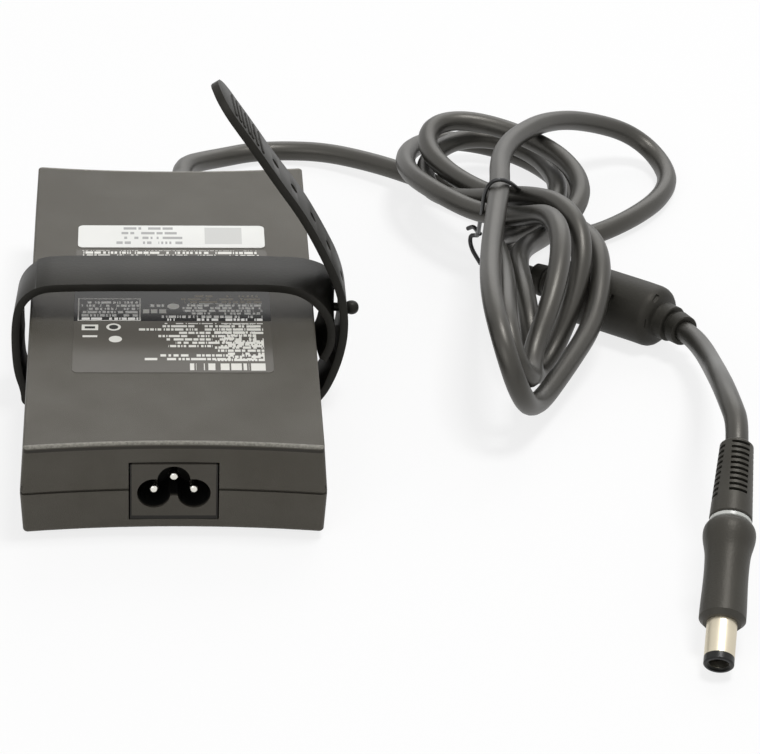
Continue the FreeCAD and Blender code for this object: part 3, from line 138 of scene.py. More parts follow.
# Finishes: two close colours, roughness, grains to a metre, their depth in metres, and
# what the shader's own sockets hold
WARM = (1.0, 0.95, 0.86, 1.0)
PATCHES = 60.0
PATCH_EDGES = (0.35, 0.65)
METAL = {"Metallic": 1.0}
FINISHES = {
    "shell_plastic": (
        (0.058, 0.053, 0.043), (0.072, 0.067, 0.056), 0.48, 4200.0, 0.00006,
        {"Specular IOR Level": 0.3, "Specular Tint": WARM}),
    "inlet_plastic": (
        (0.050, 0.046, 0.038), (0.060, 0.055, 0.046), 0.4, 1800.0, 0.00003,
        {"Specular IOR Level": 0.3, "Specular Tint": WARM}),
    "contact_metal": (
        (0.72, 0.70, 0.64), (0.80, 0.78, 0.72), 0.22, 900.0, 0.00001, METAL),
    "board_green": ((0.02, 0.10, 0.04), (0.03, 0.13, 0.05), 0.3, 500.0, 0.00002, {}),
    "ceramic_white": ((0.70, 0.68, 0.60), (0.76, 0.74, 0.67), 0.25, 300.0, 0.00001, {}),
    "film_yellow": ((0.65, 0.45, 0.06), (0.70, 0.50, 0.08), 0.4, 700.0, 0.00002, {}),
    "ferrite_black": (
        (0.022, 0.022, 0.023), (0.035, 0.035, 0.036), 0.6, 1500.0, 0.00005, {}),
    "copper_wire": (
        (0.45, 0.17, 0.06), (0.58, 0.24, 0.09), 0.3, 1200.0, 0.00008, {"Metallic": 0.8}),
    "package_black": (
        (0.015, 0.015, 0.015), (0.022, 0.022, 0.022), 0.5, 1400.0, 0.00003, {}),
    "sleeve_dark": (
        (0.012, 0.018, 0.04), (0.018, 0.026, 0.055), 0.25, 500.0, 0.00001, {}),
    "sheet_aluminium": (
        (0.58, 0.59, 0.60), (0.68, 0.69, 0.70), 0.32, 800.0, 0.00003, METAL),
    "tape_yellow": ((0.62, 0.48, 0.06), (0.68, 0.54, 0.09), 0.35, 400.0, 0.00002, {}),
    "film_clear": ((0.50, 0.50, 0.47), (0.56, 0.56, 0.53), 0.3, 300.0, 0.00001, {}),
    "lead_wire": ((0.32, 0.02, 0.015), (0.38, 0.03, 0.02), 0.35, 700.0, 0.00001, {}),
    "label_dark": (
        (0.098, 0.091, 0.079), (0.108, 0.101, 0.088), 0.25, 900.0, 0.00001,
        {"Specular IOR Level": 0.14, "Specular Tint": (1.0, 0.96, 0.9, 1.0)}),
    "label_white": ((0.76, 0.76, 0.73), (0.80, 0.80, 0.77), 0.5, 700.0, 0.00001, {}),
    "strap_rubber": (
        (0.016, 0.0155, 0.0135), (0.024, 0.023, 0.020), 0.42, 1400.0, 0.00004,
        {"Specular IOR Level": 0.16, "Specular Tint": (1.0, 0.97, 0.9, 1.0)}),
    "cord_jacket": (
        (0.014, 0.0135, 0.0115), (0.022, 0.021, 0.018), 0.4, 1600.0, 0.00002,
        {"Specular IOR Level": 0.7, "Specular Tint": (1.0, 0.96, 0.88, 1.0)}),
    "moulded_cover": (
        (0.014, 0.0135, 0.011), (0.020, 0.019, 0.016), 0.5, 1500.0, 0.00005,
        {"Specular IOR Level": 0.25, "Specular Tint": WARM}),
    "plug_rubber": (
        (0.034, 0.032, 0.027), (0.044, 0.042, 0.036), 0.45, 1500.0, 0.00005,
        {"Specular IOR Level": 0.3, "Specular Tint": WARM}),
    "ring_light": ((0.50, 0.51, 0.48), (0.58, 0.59, 0.56), 0.3, 600.0, 0.00001, {}),
    "barrel_nickel": (
        (0.58, 0.52, 0.40), (0.66, 0.60, 0.47), 0.42, 700.0, 0.00002, METAL),
    "tip_black": (
        (0.010, 0.010, 0.009), (0.014, 0.014, 0.013), 0.35, 900.0, 0.00001,
        {"Specular IOR Level": 0.25}),
    "tie_black": (
        (0.012, 0.012, 0.012), (0.020, 0.020, 0.020), 0.35, 1200.0, 0.00002, {}),
}
SLOT_NODES = {
    "shell_plastic": ("bottom_shell", "top_shell"),
    "inlet_plastic": ("inlet_body",),
    "contact_metal": ("inlet_contacts", "plug_contact", "centre_pin"),
    "board_green": ("circuit_board",),
    "ceramic_white": ("fuse",),
    "film_yellow": ("x_capacitor",),
    "ferrite_black": (
        "line_choke_core", "boost_choke_core", "transformer_core", "ferrite_core"),
    "copper_wire": ("line_choke_coil", "boost_choke_coil"),
    "package_black": ("bridge_rectifier", "switching_transistors", "output_rectifiers"),
    "sleeve_dark": ("bulk_capacitors", "output_capacitors"),
    "sheet_aluminium": (
        "heat_sink_primary", "heat_sink_secondary", "shield_top", "shield_bottom"),
    "tape_yellow": ("transformer_coil",),
    "film_clear": ("insulation_film",),
    "lead_wire": ("inlet_leads", "output_leads"),
    "label_dark": ("rating_label",),
    "label_white": ("white_sticker",),
    "strap_rubber": ("cable_strap",),
    "cord_jacket": (
        "cord_relief", "cord_lead", "cord_hank", "cord_loop", "cord_in_ferrite",
        "cord_tail"),
    "moulded_cover": ("ferrite_cover",),
    "plug_rubber": ("plug_relief", "plug_body"),
    "ring_light": ("plug_ring",),
    "barrel_nickel": ("barrel",),
    "tip_black": ("barrel_tip",),
    "tie_black": ("twist_tie",),
}


def cloudy(tree, scale, detail):
    """A cloudy pattern that stays on the object, from nothing to one."""
    place = tree.nodes.new("ShaderNodeTexCoord")
    noise = tree.nodes.new("ShaderNodeTexNoise")
    noise.inputs["Scale"].default_value = scale
    noise.inputs["Detail"].default_value = detail
    tree.links.new(place.outputs["Object"], noise.inputs["Vector"])
    return noise.outputs["Fac"]


def grained(name, colour, other, roughness, grain, depth, sockets):
    """A moulded or plated finish: two close colours in patches, and a fine grain."""
    material = bpy.data.materials.new(name)
    material.use_nodes = True
    tree = material.node_tree
    skin = tree.nodes["Principled BSDF"]
    skin.inputs["Roughness"].default_value = roughness
    for socket, value in sockets.items():
        skin.inputs[socket].default_value = value
    tint = tree.nodes.new("ShaderNodeValToRGB")
    stops = tint.color_ramp.elements
    for stop, edge, shade in zip(stops, PATCH_EDGES, (colour, other)):
        stop.position = edge
        stop.color = (*shade, 1.0)
    tree.links.new(cloudy(tree, PATCHES, detail=4.0), tint.inputs["Fac"])
    tree.links.new(tint.outputs["Color"], skin.inputs["Base Color"])
    relief = tree.nodes.new("ShaderNodeBump")
    relief.inputs["Strength"].default_value = 1.0
    relief.inputs["Distance"].default_value = depth
    tree.links.new(cloudy(tree, grain, detail=2.0), relief.inputs["Height"])
    tree.links.new(relief.outputs["Normal"], skin.inputs["Normal"])
    return material


def dress_nodes(finishes):
    """Give every CAD node its finish through its own material slots."""
    for slot, names in SLOT_NODES.items():
        for name in names:
            for place in nodes[name].material_slots:
                place.material = finishes[slot]


# Printing, and painted highlight and shade, in millimetres of the object's own x, y and z
def reckoner(tree):
    """Arithmetic on a material's numbers, each step one node."""
    def reckon(kind, *values):
        step = tree.nodes.new("ShaderNodeMath")
        step.operation = kind
        for number, value in enumerate(values):
            if isinstance(value, (int, float)):
                step.inputs[number].default_value = value
            else:
                tree.links.new(value, step.inputs[number])
        return step.outputs[0]
    return reckon


def object_place(tree):
    """The x, y and z of a surface in millimetres."""
    place = tree.nodes.new("ShaderNodeTexCoord")
    split = tree.nodes.new("ShaderNodeSeparateXYZ")
    tree.links.new(place.outputs["Object"], split.inputs[0])
    reckon = reckoner(tree)
    return [reckon("MULTIPLY", split.outputs[axis], 1 / MM) for axis in range(3)]


def node_box(name):
    """A node's lowest and highest corner in millimetres."""
    return [[side / MM for side in corner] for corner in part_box(name)]


def coat(material, colour, share):
    """Lay one colour over a finish where the share is one."""
    tree = material.node_tree
    skin = tree.nodes["Principled BSDF"]
    under = skin.inputs["Base Color"].links[0].from_socket
    mix = tree.nodes.new("ShaderNodeMix")
    mix.data_type = "RGBA"
    tree.links.new(share, mix.inputs[0])
    tree.links.new(under, mix.inputs[6])
    mix.inputs[7].default_value = (*colour, 1.0)
    tree.links.new(mix.outputs[2], skin.inputs["Base Color"])


def any_of(reckon, shares):
    """One where any of these shares is one."""
    total = shares[0]
    for share in shares[1:]:
        total = reckon("MAXIMUM", total, share)
    return total


def printed_box(reckon, x, y, box):
    """One inside a box with these left, right, near and far sides."""
    left, right, near, far = box
    wide = reckon(
        "MULTIPLY", reckon("GREATER_THAN", x, left), reckon("LESS_THAN", x, right))
    long = reckon(
        "MULTIPLY", reckon("GREATER_THAN", y, near), reckon("LESS_THAN", y, far))
    return reckon("MULTIPLY", wide, long)


def printed_spot(reckon, x, y, spot):
    """One inside a round spot with this middle and radius."""
    middle_x, middle_y, radius = spot
    wide = reckon("SUBTRACT", x, middle_x)
    long = reckon("SUBTRACT", y, middle_y)
    squares = reckon(
        "ADD", reckon("MULTIPLY", wide, wide), reckon("MULTIPLY", long, long))
    return reckon("LESS_THAN", reckon("SQRT", squares), radius)


def chance(tree, first, second):
    """A fixed random number for each pair of whole numbers."""
    pair = tree.nodes.new("ShaderNodeCombineXYZ")
    tree.links.new(first, pair.inputs[0])
    tree.links.new(second, pair.inputs[1])
    noise = tree.nodes.new("ShaderNodeTexWhiteNoise")
    noise.noise_dimensions = "2D"
    tree.links.new(pair.outputs[0], noise.inputs["Vector"])
    return noise.outputs["Value"]


BAR_LENGTH = 1.9
BARS_LEFT_OUT = 0.14
STROKES_LEFT_OUT = 0.3
STROKE_DRAW = 0.37  # moves the row number, so that strokes and bars draw apart


def printed_rows(tree, x, y, box, pitch, ink, late, stroke, first_row):
    """Rows of broken generic bars in a box, each row starting somewhat late."""
    reckon = reckoner(tree)
    left, near = box[0], box[2]
    rows = reckon("DIVIDE", reckon("SUBTRACT", y, near), pitch)
    row = reckon("ADD", reckon("FLOOR", rows), first_row)
    from_left = reckon("SUBTRACT", x, left)
    bar = reckon("FLOOR", reckon("DIVIDE", from_left, BAR_LENGTH))
    mark = reckon("FLOOR", reckon("DIVIDE", from_left, stroke))
    mark_row = reckon("ADD", row, STROKE_DRAW)
    start = reckon("MULTIPLY", chance(tree, row, row), late)
    share = printed_box(reckon, x, y, box)
    for part in (
            reckon("LESS_THAN", reckon("FRACT", rows), ink),
            reckon("GREATER_THAN", from_left, start),
            reckon("GREATER_THAN", chance(tree, bar, row), BARS_LEFT_OUT),
            reckon("GREATER_THAN", chance(tree, mark, mark_row), STROKES_LEFT_OUT)):
        share = reckon("MULTIPLY", share, part)
    return share


# A box is its left, right, near and far sides, and a spot its middle and radius. Rows
# are their box, pitch, inked share, latest start, width of a stroke and first row.
BAND_BOX = (-30.0, 21.5, -13.0, 12.0)
# Painted reflection and shade: the black band stands for the strap mirrored in the glossy
# label and shading it
BAND_PAINTED_REFLECTION = (0.006, 0.006, 0.006)
TAN_ROWS = ((-2.0, 19.3, -3.2, 1.6), 1.6, 0.66, 2.0, 0.6, 3.0)
TAN_INK = (0.16, 0.13, 0.08)
BAND_ROWS = (
    ((-28.4, -13.0, -12.3, -2.4), 1.75, 0.7, 0.5, 0.32, 11.0),
    ((-12.2, -6.0, -5.3, -3.7), 2.0, 0.7, 0.5, 0.32, 14.0),
    ((-2.0, 19.3, -9.4, -3.4), 1.45, 0.76, 3.0, 0.32, 17.0),
    ((-7.5, 19.3, -12.8, -9.6), 1.6, 0.8, 0.5, 0.32, 23.0),
)
# Print, painted brighter than the other ink to make up for the strap's shade
BAND_INK_PAINTED_BRIGHT = (0.95, 0.94, 0.90)
LABEL_ROWS = (
    ((-14.9, 19.3, -26.8, -14.0), 1.75, 0.66, 13.0, 0.32, 31.0),
    ((6.0, 19.3, -34.0, -14.0), 1.6, 0.76, 4.0, 0.3, 43.0),
    ((-13.4, 19.3, -33.6, -29.8), 1.9, 0.62, 7.0, 0.32, 57.0),
    ((-0.2, 15.2, -38.7, -35.2), 3.6, 0.96, 0.3, 0.45, 61.0),
    ((-28.5, 19.3, 22.6, 26.3), 1.75, 0.74, 0.5, 0.34, 71.0),
)
LABEL_BOXES = (
    (-12.0, -10.3, -8.8, -6.6), (-9.9, -8.2, -8.8, -6.6), (-7.7, -5.9, -8.8, -6.6),
    (15.7, 19.4, -38.9, -35.2), (-27.9, -23.6, -17.9, -14.9),
    (-27.6, -23.8, -21.6, -20.6),
)
LABEL_SPOTS = ((-4.0, -5.0, 1.6), (-19.6, -16.2, 1.9), (-19.1, -22.6, 1.7))
LINED_BOX = (-29.0, -12.6, -12.8, -0.8)
LINED_INSIDE = (-28.7, -12.9, -12.5, -1.1)
LABEL_INK = (0.74, 0.73, 0.68)
BOX_INSIDE = (-27.1, -24.4, -17.0, -15.8)
SPOT_INSIDE = (-19.6, -16.2, 1.2)
INSIDE_DARK = (0.05, 0.049, 0.046)


def rating_print_and_painted_reflection(material):
    """The rating label's generic bars, boxes and round spots, with a black band of
    painted reflection and shade where the strap lies over it, and its rows there painted
    brighter.
    """
    tree = material.node_tree
    reckon = reckoner(tree)
    x, y = object_place(tree)[:2]
    # Painted reflection and shade of the strap
    coat(material, BAND_PAINTED_REFLECTION, printed_box(reckon, x, y, BAND_BOX))
    coat(material, TAN_INK, printed_rows(tree, x, y, *TAN_ROWS))
    # Print, painted brighter under the strap
    coat(material, BAND_INK_PAINTED_BRIGHT, any_of(
        reckon, [printed_rows(tree, x, y, *rows) for rows in BAND_ROWS]))
    lines = reckon("SUBTRACT", printed_box(reckon, x, y, LINED_BOX),
                   printed_box(reckon, x, y, LINED_INSIDE))
    coat(material, LABEL_INK, any_of(reckon, [
        lines,
        *(printed_rows(tree, x, y, *rows) for rows in LABEL_ROWS),
        *(printed_box(reckon, x, y, box) for box in LABEL_BOXES),
        *(printed_spot(reckon, x, y, spot) for spot in LABEL_SPOTS)]))
    coat(material, INSIDE_DARK, any_of(reckon, [
        printed_spot(reckon, x, y, SPOT_INSIDE), printed_box(reckon, x, y, BOX_INSIDE)]))


STICKER_ROWS = (
    ((-23.0, -1.3, 29.9, 32.0), 3.0, 0.5, 0.3, 0.55, 5.0),
    ((-18.2, -1.3, 32.8, 40.4), 2.75, 0.5, 1.0, 0.55, 9.0),
)
STICKER_INK = (0.36, 0.36, 0.35)
STICKER_BLOCK = (4.8, 14.9, 30.0, 39.6)
BLOCK_GREY = (0.58, 0.58, 0.56)


def sticker_print(material):
    """The white sticker's thin grey bars and one pale block, all generic."""
    tree = material.node_tree
    reckon = reckoner(tree)
    x, y = object_place(tree)[:2]
    coat(material, STICKER_INK, any_of(
        reckon, [printed_rows(tree, x, y, *rows) for rows in STICKER_ROWS]))
    coat(material, BLOCK_GREY, printed_box(reckon, x, y, STICKER_BLOCK))


# Painted shade: the socket's inside and the gaps beside and below the insert are darkened
# in the colour
SOCKET_PAINTED_SHADE = (0.005, 0.005, 0.005)
SOCKET_FROM = 0.9  # in from the insert's face
LOWER_SHADE_LINE = 0.95
SIDE_SHADE_LINE = 0.4


def inlet_shade(material):
    """Painted shade inside the socket and along the insert's lower and side edges."""
    tree = material.node_tree
    reckon = reckoner(tree)
    x, y, z = object_place(tree)
    low, high = node_box("inlet_body")
    coat(material, SOCKET_PAINTED_SHADE, any_of(reckon, [
        reckon("GREATER_THAN", y, low[1] + SOCKET_FROM),
        reckon("LESS_THAN", z, low[2] + LOWER_SHADE_LINE),
        reckon("LESS_THAN", x, low[0] + SIDE_SHADE_LINE),
        reckon("GREATER_THAN", x, high[0] - SIDE_SHADE_LINE)]))


END_HOLLOW = 2.5  # how far the case's end edges curve in at the middle
EDGE_WIDTH = 1.3
HIGHLIGHT_DEPTH = 0.6
# Painted light: a lighter grey, broken into specks, where the lid's end edges catch a
# highlight, and a dark line of shade under the edge
PAINTED_HIGHLIGHT_GREY = (0.34, 0.33, 0.29)
HIGHLIGHT_SPECKS = 1500.0
PAINTED_SHADE_BAND = (2.0, 1.2)  # how far below the lid the dark line starts and ends
PAINTED_SHADE_DARK = (0.012, 0.011, 0.010)
PAINTED_SHADE_SHARE = 0.8


def painted_edge_highlight_and_shade(material):
    """A painted highlight along the lid's curved end edges, and a darker line of painted
    shade under it.
    """
    tree = material.node_tree
    reckon = reckoner(tree)
    x, y, z = object_place(tree)
    low, high = node_box("top_shell")
    middle = (low[0] + high[0]) / 2
    half = (high[0] - low[0]) / 2
    out = reckon("DIVIDE", reckon("SUBTRACT", x, middle), half)
    inward = reckon("SUBTRACT", 1.0, reckon("MULTIPLY", out, out))
    end = reckon("SUBTRACT", high[1], reckon("MULTIPLY", inward, END_HOLLOW))
    from_end = reckon("SUBTRACT", reckon("ABSOLUTE", y), end)
    edge = reckon("GREATER_THAN", from_end, -EDGE_WIDTH)
    highlight_band = reckon(
        "MULTIPLY", edge, reckon("GREATER_THAN", z, high[2] - HIGHLIGHT_DEPTH))
    glints = cloudy(tree, HIGHLIGHT_SPECKS, detail=2.0)
    coat(material, PAINTED_HIGHLIGHT_GREY, reckon("MULTIPLY", highlight_band, glints))
    under = reckon("MULTIPLY", reckon("GREATER_THAN", z, high[2] - PAINTED_SHADE_BAND[0]),
                   reckon("LESS_THAN", z, high[2] - PAINTED_SHADE_BAND[1]))
    coat(material, PAINTED_SHADE_DARK, reckon(
        "MULTIPLY", reckon("MULTIPLY", under, edge), PAINTED_SHADE_SHARE))


# Free cord, in millimetres from the middle of the case's far end, above the floor
CORD_DIAMETER = 5.8 * MM
CORD_STEPS = 10
LEAD_OUT = (
    (2.6, 20.3, 11.4), (3.6, 25, 9.6), (3.4, 31.8, 8.8), (5, 39.2, 7.6), (9.8, 46.4, 5.3),
    (16.2, 52.4, 3.6), (24.4, 56.8, 3.2), (34.8, 58, 3.2), (46.8, 55.6, 3.9),
    (59, 48.8, 4.4), (70.4, 39.7, 5), (80.7, 29.6, 5.3), (90.2, 20.1, 5.2),
    (99.4, 13.1, 4.7),
)
HANK = (
    (108.7, 9.5, 3.8), (116.4, 15, 3.1), (118.7, 29, 3), (113.6, 45.7, 3),
    (102.2, 58, 3.6), (87.9, 60.7, 5.6), (75.8, 52.4, 9.1), (69.1, 36.3, 13),
    (68.8, 17.5, 16.4), (75.9, 0.3, 18.8), (87.1, -14.4, 19.5), (97.5, -26, 24.7),
    (104.3, -39, 32.6), (105.7, -56.9, 33.9), (101.9, -74.9, 26.9), (95, -88.2, 15.6),
    (94.3, -99.9, 13.9), (89, -103.9, 22.8), (87.2, -93.8, 30.1), (89.1, -70.1, 29.1),
    (89.6, -45.4, 23.8), (89.7, -27.5, 17.7), (92.1, -17.4, 13.4), (98, -11.1, 12.1),
    (106, -2.8, 12.5), (112.3, 11.2, 11.4), (113.9, 28.9, 9.1), (109.2, 44.7, 8.9),
    (98.6, 52.6, 10.3), (85.9, 49.6, 11.6), (76.6, 37.6, 11.8), (73.8, 22.1, 11.3),
    (78.1, 7.6, 13.4), (87.8, -4.9, 19.3), (99.3, -17.2, 27.1), (108.9, -31, 31.4),
    (113.2, -45, 27.6), (110.2, -57, 16), (103.8, -66.9, 4.8), (98.2, -76.5, 2),
    (96.2, -81.8, 8.4), (95.9, -78.7, 17.5), (95.2, -64.7, 22), (94.8, -46.4, 20.7),
    (97.8, -29.8, 16.6), (105.5, -16.3, 13.4), (114.7, -3.4, 13), (119.8, 11.6, 14.5),
    (115.9, 28.3, 15.9), (103.3, 42.1, 17.3), (87.9, 47.6, 19.2), (76.9, 42.3, 19.6),
    (74.9, 28.8, 18), (82.4, 12.7, 16.9), (95.3, -3.4, 17.9), (108.3, -18.5, 20.7),
    (117, -33, 22.5), (118.3, -48, 20.4), (114.7, -65.5, 13), (105.4, -83.4, 9.5),
    (95.2, -101.6, 6.5), (89.7, -112.8, 17.8), (85, -108.3, 31), (83.2, -90.1, 35.2),
    (85.4, -63.2, 33.4), (89.2, -37.7, 32.3),
)
LOOP = (
    (92.1, -17.4, 30.8), (93.3, -1.2, 29), (96.2, 12.4, 27.2), (101.7, 24.9, 25.5),
    (109.3, 36.8, 23.2), (118.3, 47.2, 19.3), (128.1, 54.8, 14.4), (137.3, 58.4, 10),
    (144.2, 56.5, 6), (148.3, 49.3, 3.3), (148.8, 38.8, 2.9), (144.3, 26.8, 3.1),
    (136.3, 15.9, 3.4), (127.4, 7.7, 3.2), (120, 3.4, 2.8), (112.9, 3.9, 4.9),
    (105.8, 4.4, 5.6), (99.8, 2, 4.8), (97.1, -3.9, 3.3), (99.7, -11.4, 3.1),
    (95.9, -18.7, 5.7), (96.62, -28.5, 8.6), (103.17, -33.1, 8.6), (122, -46.3, 8.6),
    (131.6, -53.1, 8.6),
)
TAIL = (
    (138.2, -59.6, 8.7), (141.8, -67.6, 9.3), (143, -77.2, 11), (142.9, -88, 14.1),
    (142.1, -99.1, 18.3), (140.8, -110.3, 23.4), (139.6, -121.5, 28.3),
    (138.9, -132.7, 32.1), (138.9, -143.9, 34), (139.66, -154.08, 33.31),
    (138.22, -162.06, 29.4),
)
ROUTE = LEAD_OUT + HANK + LOOP + TAIL


def from_far_end(point):
    """A point of the cord's route in the model's frame, in metres."""
    x, y, z = point
    return Vector(((x + CASE_MIDDLE_X) * MM, (y + CASE_FAR_Y) * MM, z * MM))


def round_line(name, spots, diameter, steps):
    """A round line on one smooth spline."""
    curve = bpy.data.curves.new(name, "CURVE")
    curve.dimensions = "3D"
    curve.bevel_depth = diameter / 2
    curve.bevel_resolution = 6
    curve.use_fill_caps = True
    spline = curve.splines.new("NURBS")
    spline.points.add(len(spots) - 1)
    for point, spot in zip(spline.points, spots):
        point.co = (*from_far_end(spot), 1.0)
    spline.order_u = 3
    spline.use_endpoint_u = True
    spline.resolution_u = steps
    line = bpy.data.objects.new(name, curve)
    bpy.context.scene.collection.objects.link(line)
    return line


def output_cord(finish):
    """The whole free cord, from the strain relief to the plug."""
    cord = round_line("output_cord", ROUTE, CORD_DIAMETER, CORD_STEPS)
    cord.data.materials.append(finish)
    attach(cord, "adapter")
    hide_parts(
        "cord_lead", "cord_hank", "cord_loop", "cord_in_ferrite", "cord_tail")
    from_far_end(LEAD_OUT[0])


# Making
SHARPEST_SMOOTH = 40  # edges sharper than this, in degrees, stay sharp


def let_go():
    """Leave edit mode with nothing selected."""
    if bpy.context.mode != "OBJECT":
        bpy.ops.object.mode_set(mode="OBJECT")
    bpy.ops.object.select_all(action="DESELECT")


def take(*things):
    """Select these objects alone; the first is the active one."""
    let_go()
    for thing in things:
        thing.select_set(True)
    bpy.context.view_layer.objects.active = things[0]


def settle(thing):
    """Put the object's place, turn and size into its mesh."""
    take(thing)
    bpy.ops.object.transform_apply(location=True, rotation=True, scale=True)
    let_go()
    return thing


def joined(things):
    """These objects as one, under the first one's name."""
    take(*things)
    bpy.ops.object.join()
    return bpy.context.object


def repeated(thing, count):
    """The object and its copies, each copy with its own mesh."""
    row = [thing]
    for _ in range(count - 1):
        twin = thing.copy()
        twin.data = thing.data.copy()
        bpy.context.scene.collection.objects.link(twin)
        row.append(twin)
    return row


def finish_with(thing, kind, **settings):
    """Add one modifier and apply it."""
    take(thing)
    modifier = thing.modifiers.new(kind.lower(), kind)
    for name, value in settings.items():
        setattr(modifier, name, value)
    bpy.ops.object.modifier_apply(modifier=modifier.name)


def soften(thing, width, degrees):
    """Round the edges that are sharper than an angle; the width is in millimetres."""
    finish_with(
        thing, "BEVEL", width=width * MM, segments=2, limit_method="ANGLE",
        angle_limit=math.radians(degrees))


def cut_out(thing, cutter):
    """Cut one object's shape out of another, and clear the cutter away."""
    finish_with(thing, "BOOLEAN", operation="DIFFERENCE", object=cutter, solver="EXACT")
    bpy.data.objects.remove(cutter)


def face_out(thing):
    """Merge doubled points and point every face outwards."""
    take(thing)
    bpy.ops.object.mode_set(mode="EDIT")
    bpy.ops.mesh.select_all(action="SELECT")
    bpy.ops.mesh.remove_doubles(threshold=0.01 * MM)
    bpy.ops.mesh.normals_make_consistent(inside=False)
    let_go()


def smooth(thing):
    """Shade smooth, with the sharper edges kept."""
    take(thing)
    bpy.ops.object.shade_smooth_by_angle(angle=math.radians(SHARPEST_SMOOTH))
    let_go()


def turned(name, profile, sides):
    """A closed round piece up the z axis, from heights and radii in millimetres."""
    let_go()
    height, radius = profile[0]
    bpy.ops.mesh.primitive_circle_add(
        vertices=sides, radius=radius * MM, fill_type="NGON",
        location=(0, 0, height * MM))
    piece = bpy.context.object
    piece.name = name
    settle(piece)
    take(piece)
    bpy.ops.object.mode_set(mode="EDIT")
    bpy.ops.mesh.select_all(action="SELECT")
    for up, wide in profile[1:]:
        bpy.ops.mesh.extrude_region_move(
            TRANSFORM_OT_translate={"value": (0, 0, (up - height) * MM)})
        bpy.ops.transform.resize(
            value=(wide / radius, wide / radius, 1), center_override=(0, 0, up * MM))
        height, radius = up, wide
    let_go()
    face_out(piece)
    return piece


def spline_walk(spots, steps):
    """Even points along the smooth line that a row of route points makes."""
    line = round_line("guide_line", spots, 0.0, steps)
    bpy.context.view_layer.update()
    mesh = bpy.data.meshes.new_from_object(line)
    walk = [vertex.co.copy() for vertex in mesh.vertices]
    bpy.data.objects.remove(line)
    bpy.data.meshes.remove(mesh)
    return walk


def follow(piece, walk):
    """Lay a piece turned up the z axis along a line, its z as the way along."""
    lengths = [0.0]
    for before, after in zip(walk[:-1], walk[1:]):
        lengths.append(lengths[-1] + (after - before).length)
    for vertex in piece.data.vertices:
        along = min(max(vertex.co.z, 0.0), lengths[-1])
        step = 0
        while step < len(walk) - 2 and lengths[step + 1] < along:
            step += 1
        part = (along - lengths[step]) / (lengths[step + 1] - lengths[step])
        spot = walk[step].lerp(walk[step + 1], part)
        back = (walk[step + 1] - walk[max(step - 1, 0)]).normalized()
        ahead = (walk[min(step + 2, len(walk) - 1)] - walk[step]).normalized()
        way = back.lerp(ahead, part).normalized()
        past = vertex.co.z - along
        side = way.cross(Vector((0, 0, 1))).normalized()
        rise = side.cross(way)
        vertex.co = spot + way * past + side * vertex.co.x + rise * vertex.co.y


def ramp(value, start, over):
    """How far a value has come from a start over a length, from nothing to one."""
    return min(max((value - start) / over, 0.0), 1.0)


def slotted(piece, finish, body, node):
    """Give a finished piece its finish and its body, and hide the node that it stands
    for.
    """
    piece.data.materials.clear()
    piece.data.materials.append(finish)
    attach(piece, body)
    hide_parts(node)


# Rubber strap, in millimetres: x from the case's middle, z above the floor
STRAP_LINE = (
    (39.7, 14.4), (41.4, 17.2), (42, 22.4), (41.1, 26.6), (38.9, 30.2), (35.6, 33.4),
    (31.2, 35.4), (24.5, 36), (12, 36), (-12, 36), (-27, 35.9), (-35.2, 35.4),
    (-39.9, 31), (-41.1, 24.5), (-41.1, 16.9), (-40.6, 10.5), (-39, 4.6), (-39.1, 0.8),
    (-34, 0.8), (-20, 0.8), (0, 0.8), (20, 0.8), (34, 0.8), (37.6, 0.8), (40.4, 4.6),
    (42.6, 10.2), (44.2, 15.6), (45.2, 22), (45, 29), (43.4, 36.2), (39.1, 46),
    (33.8, 56.4), (27, 66.4), (21, 75.8), (16, 83.2), (11.1, 90.7),
)
STRAP_STEPS = 12
STRAP_MID_Y = -3.35
STRAP_HALF = 8.0
STRAP_THICK = 2.1
STRAP_UNDER = 1.6  # its thickness under the case
THIN_BELOW = 1.5  # a height, from which the band thickens over the next length
THICKENS_OVER = 8
TIP_ABOVE = 60  # a height that only the tail reaches
TIP_LEAST = 0.8  # keeps the rounded tip from ending in a point
HOLE_COUNT = 7
HOLE_PITCH = 9.3
HOLE_RADIUS = 1.5
DRILL_DEPTH = 4.4
STUD_HEIGHT = 25.9
STUD_BALL_X = 47.3
STUD_REACH = 7.2  # from the stud's root to the middle of its head
STUD_SHAPE = (
    (0, 1.1), (5.5, 1.1), (5.8, 1.35), (6.2, 1.66), (6.8, 1.84), (7.3, 1.9), (7.8, 1.84),
    (8.4, 1.6), (8.8, 1.25), (9.1, 0.75), (9.2, 0.2),
)
RIDGE_COUNT = 7
RIDGE_PITCH = 2.1
RIDGE_SIZE = (1.0, 12.0, 1.0)
RIDGE_SUNK = 0.1
RIDGES_BACK = 19.5  # from the tip to the first ridge


def strap_spots(walk, start, pitch, count):
    """Points at even steps along the walk from an index, with the way along."""
    found = []
    gone = 0.0
    wanted = 0.0
    for index in range(start, len(walk) - 1):
        if gone >= wanted and len(found) < count:
            way = (walk[index + 1] - walk[index - 1]).normalized()
            found.append((walk[index].copy(), way))
            wanted += pitch * MM
        gone += (walk[index + 1] - walk[index]).length
    return found


def strap_sheet():
    """The band's middle sheet: its line drawn flat, widened and stood up."""
    curve = bpy.data.curves.new("strap_line", "CURVE")
    curve.dimensions = "2D"
    curve.extrude = STRAP_HALF * MM
    spline = curve.splines.new("NURBS")
    spline.points.add(len(STRAP_LINE) - 1)
    for point, (x, z) in zip(spline.points, STRAP_LINE):
        point.co = ((x + CASE_MIDDLE_X) * MM, z * MM, 0, 1)
    spline.order_u = 3
    spline.use_endpoint_u = True
    spline.resolution_u = STRAP_STEPS
    strap = bpy.data.objects.new("rubber_strap", curve)
    bpy.context.scene.collection.objects.link(strap)
    take(strap)
    bpy.ops.object.convert(target="MESH")
    strap = bpy.context.object
    strap.rotation_euler = (math.pi / 2, 0, 0)
    strap.location = (0, STRAP_MID_Y * MM, 0)
    return settle(strap)


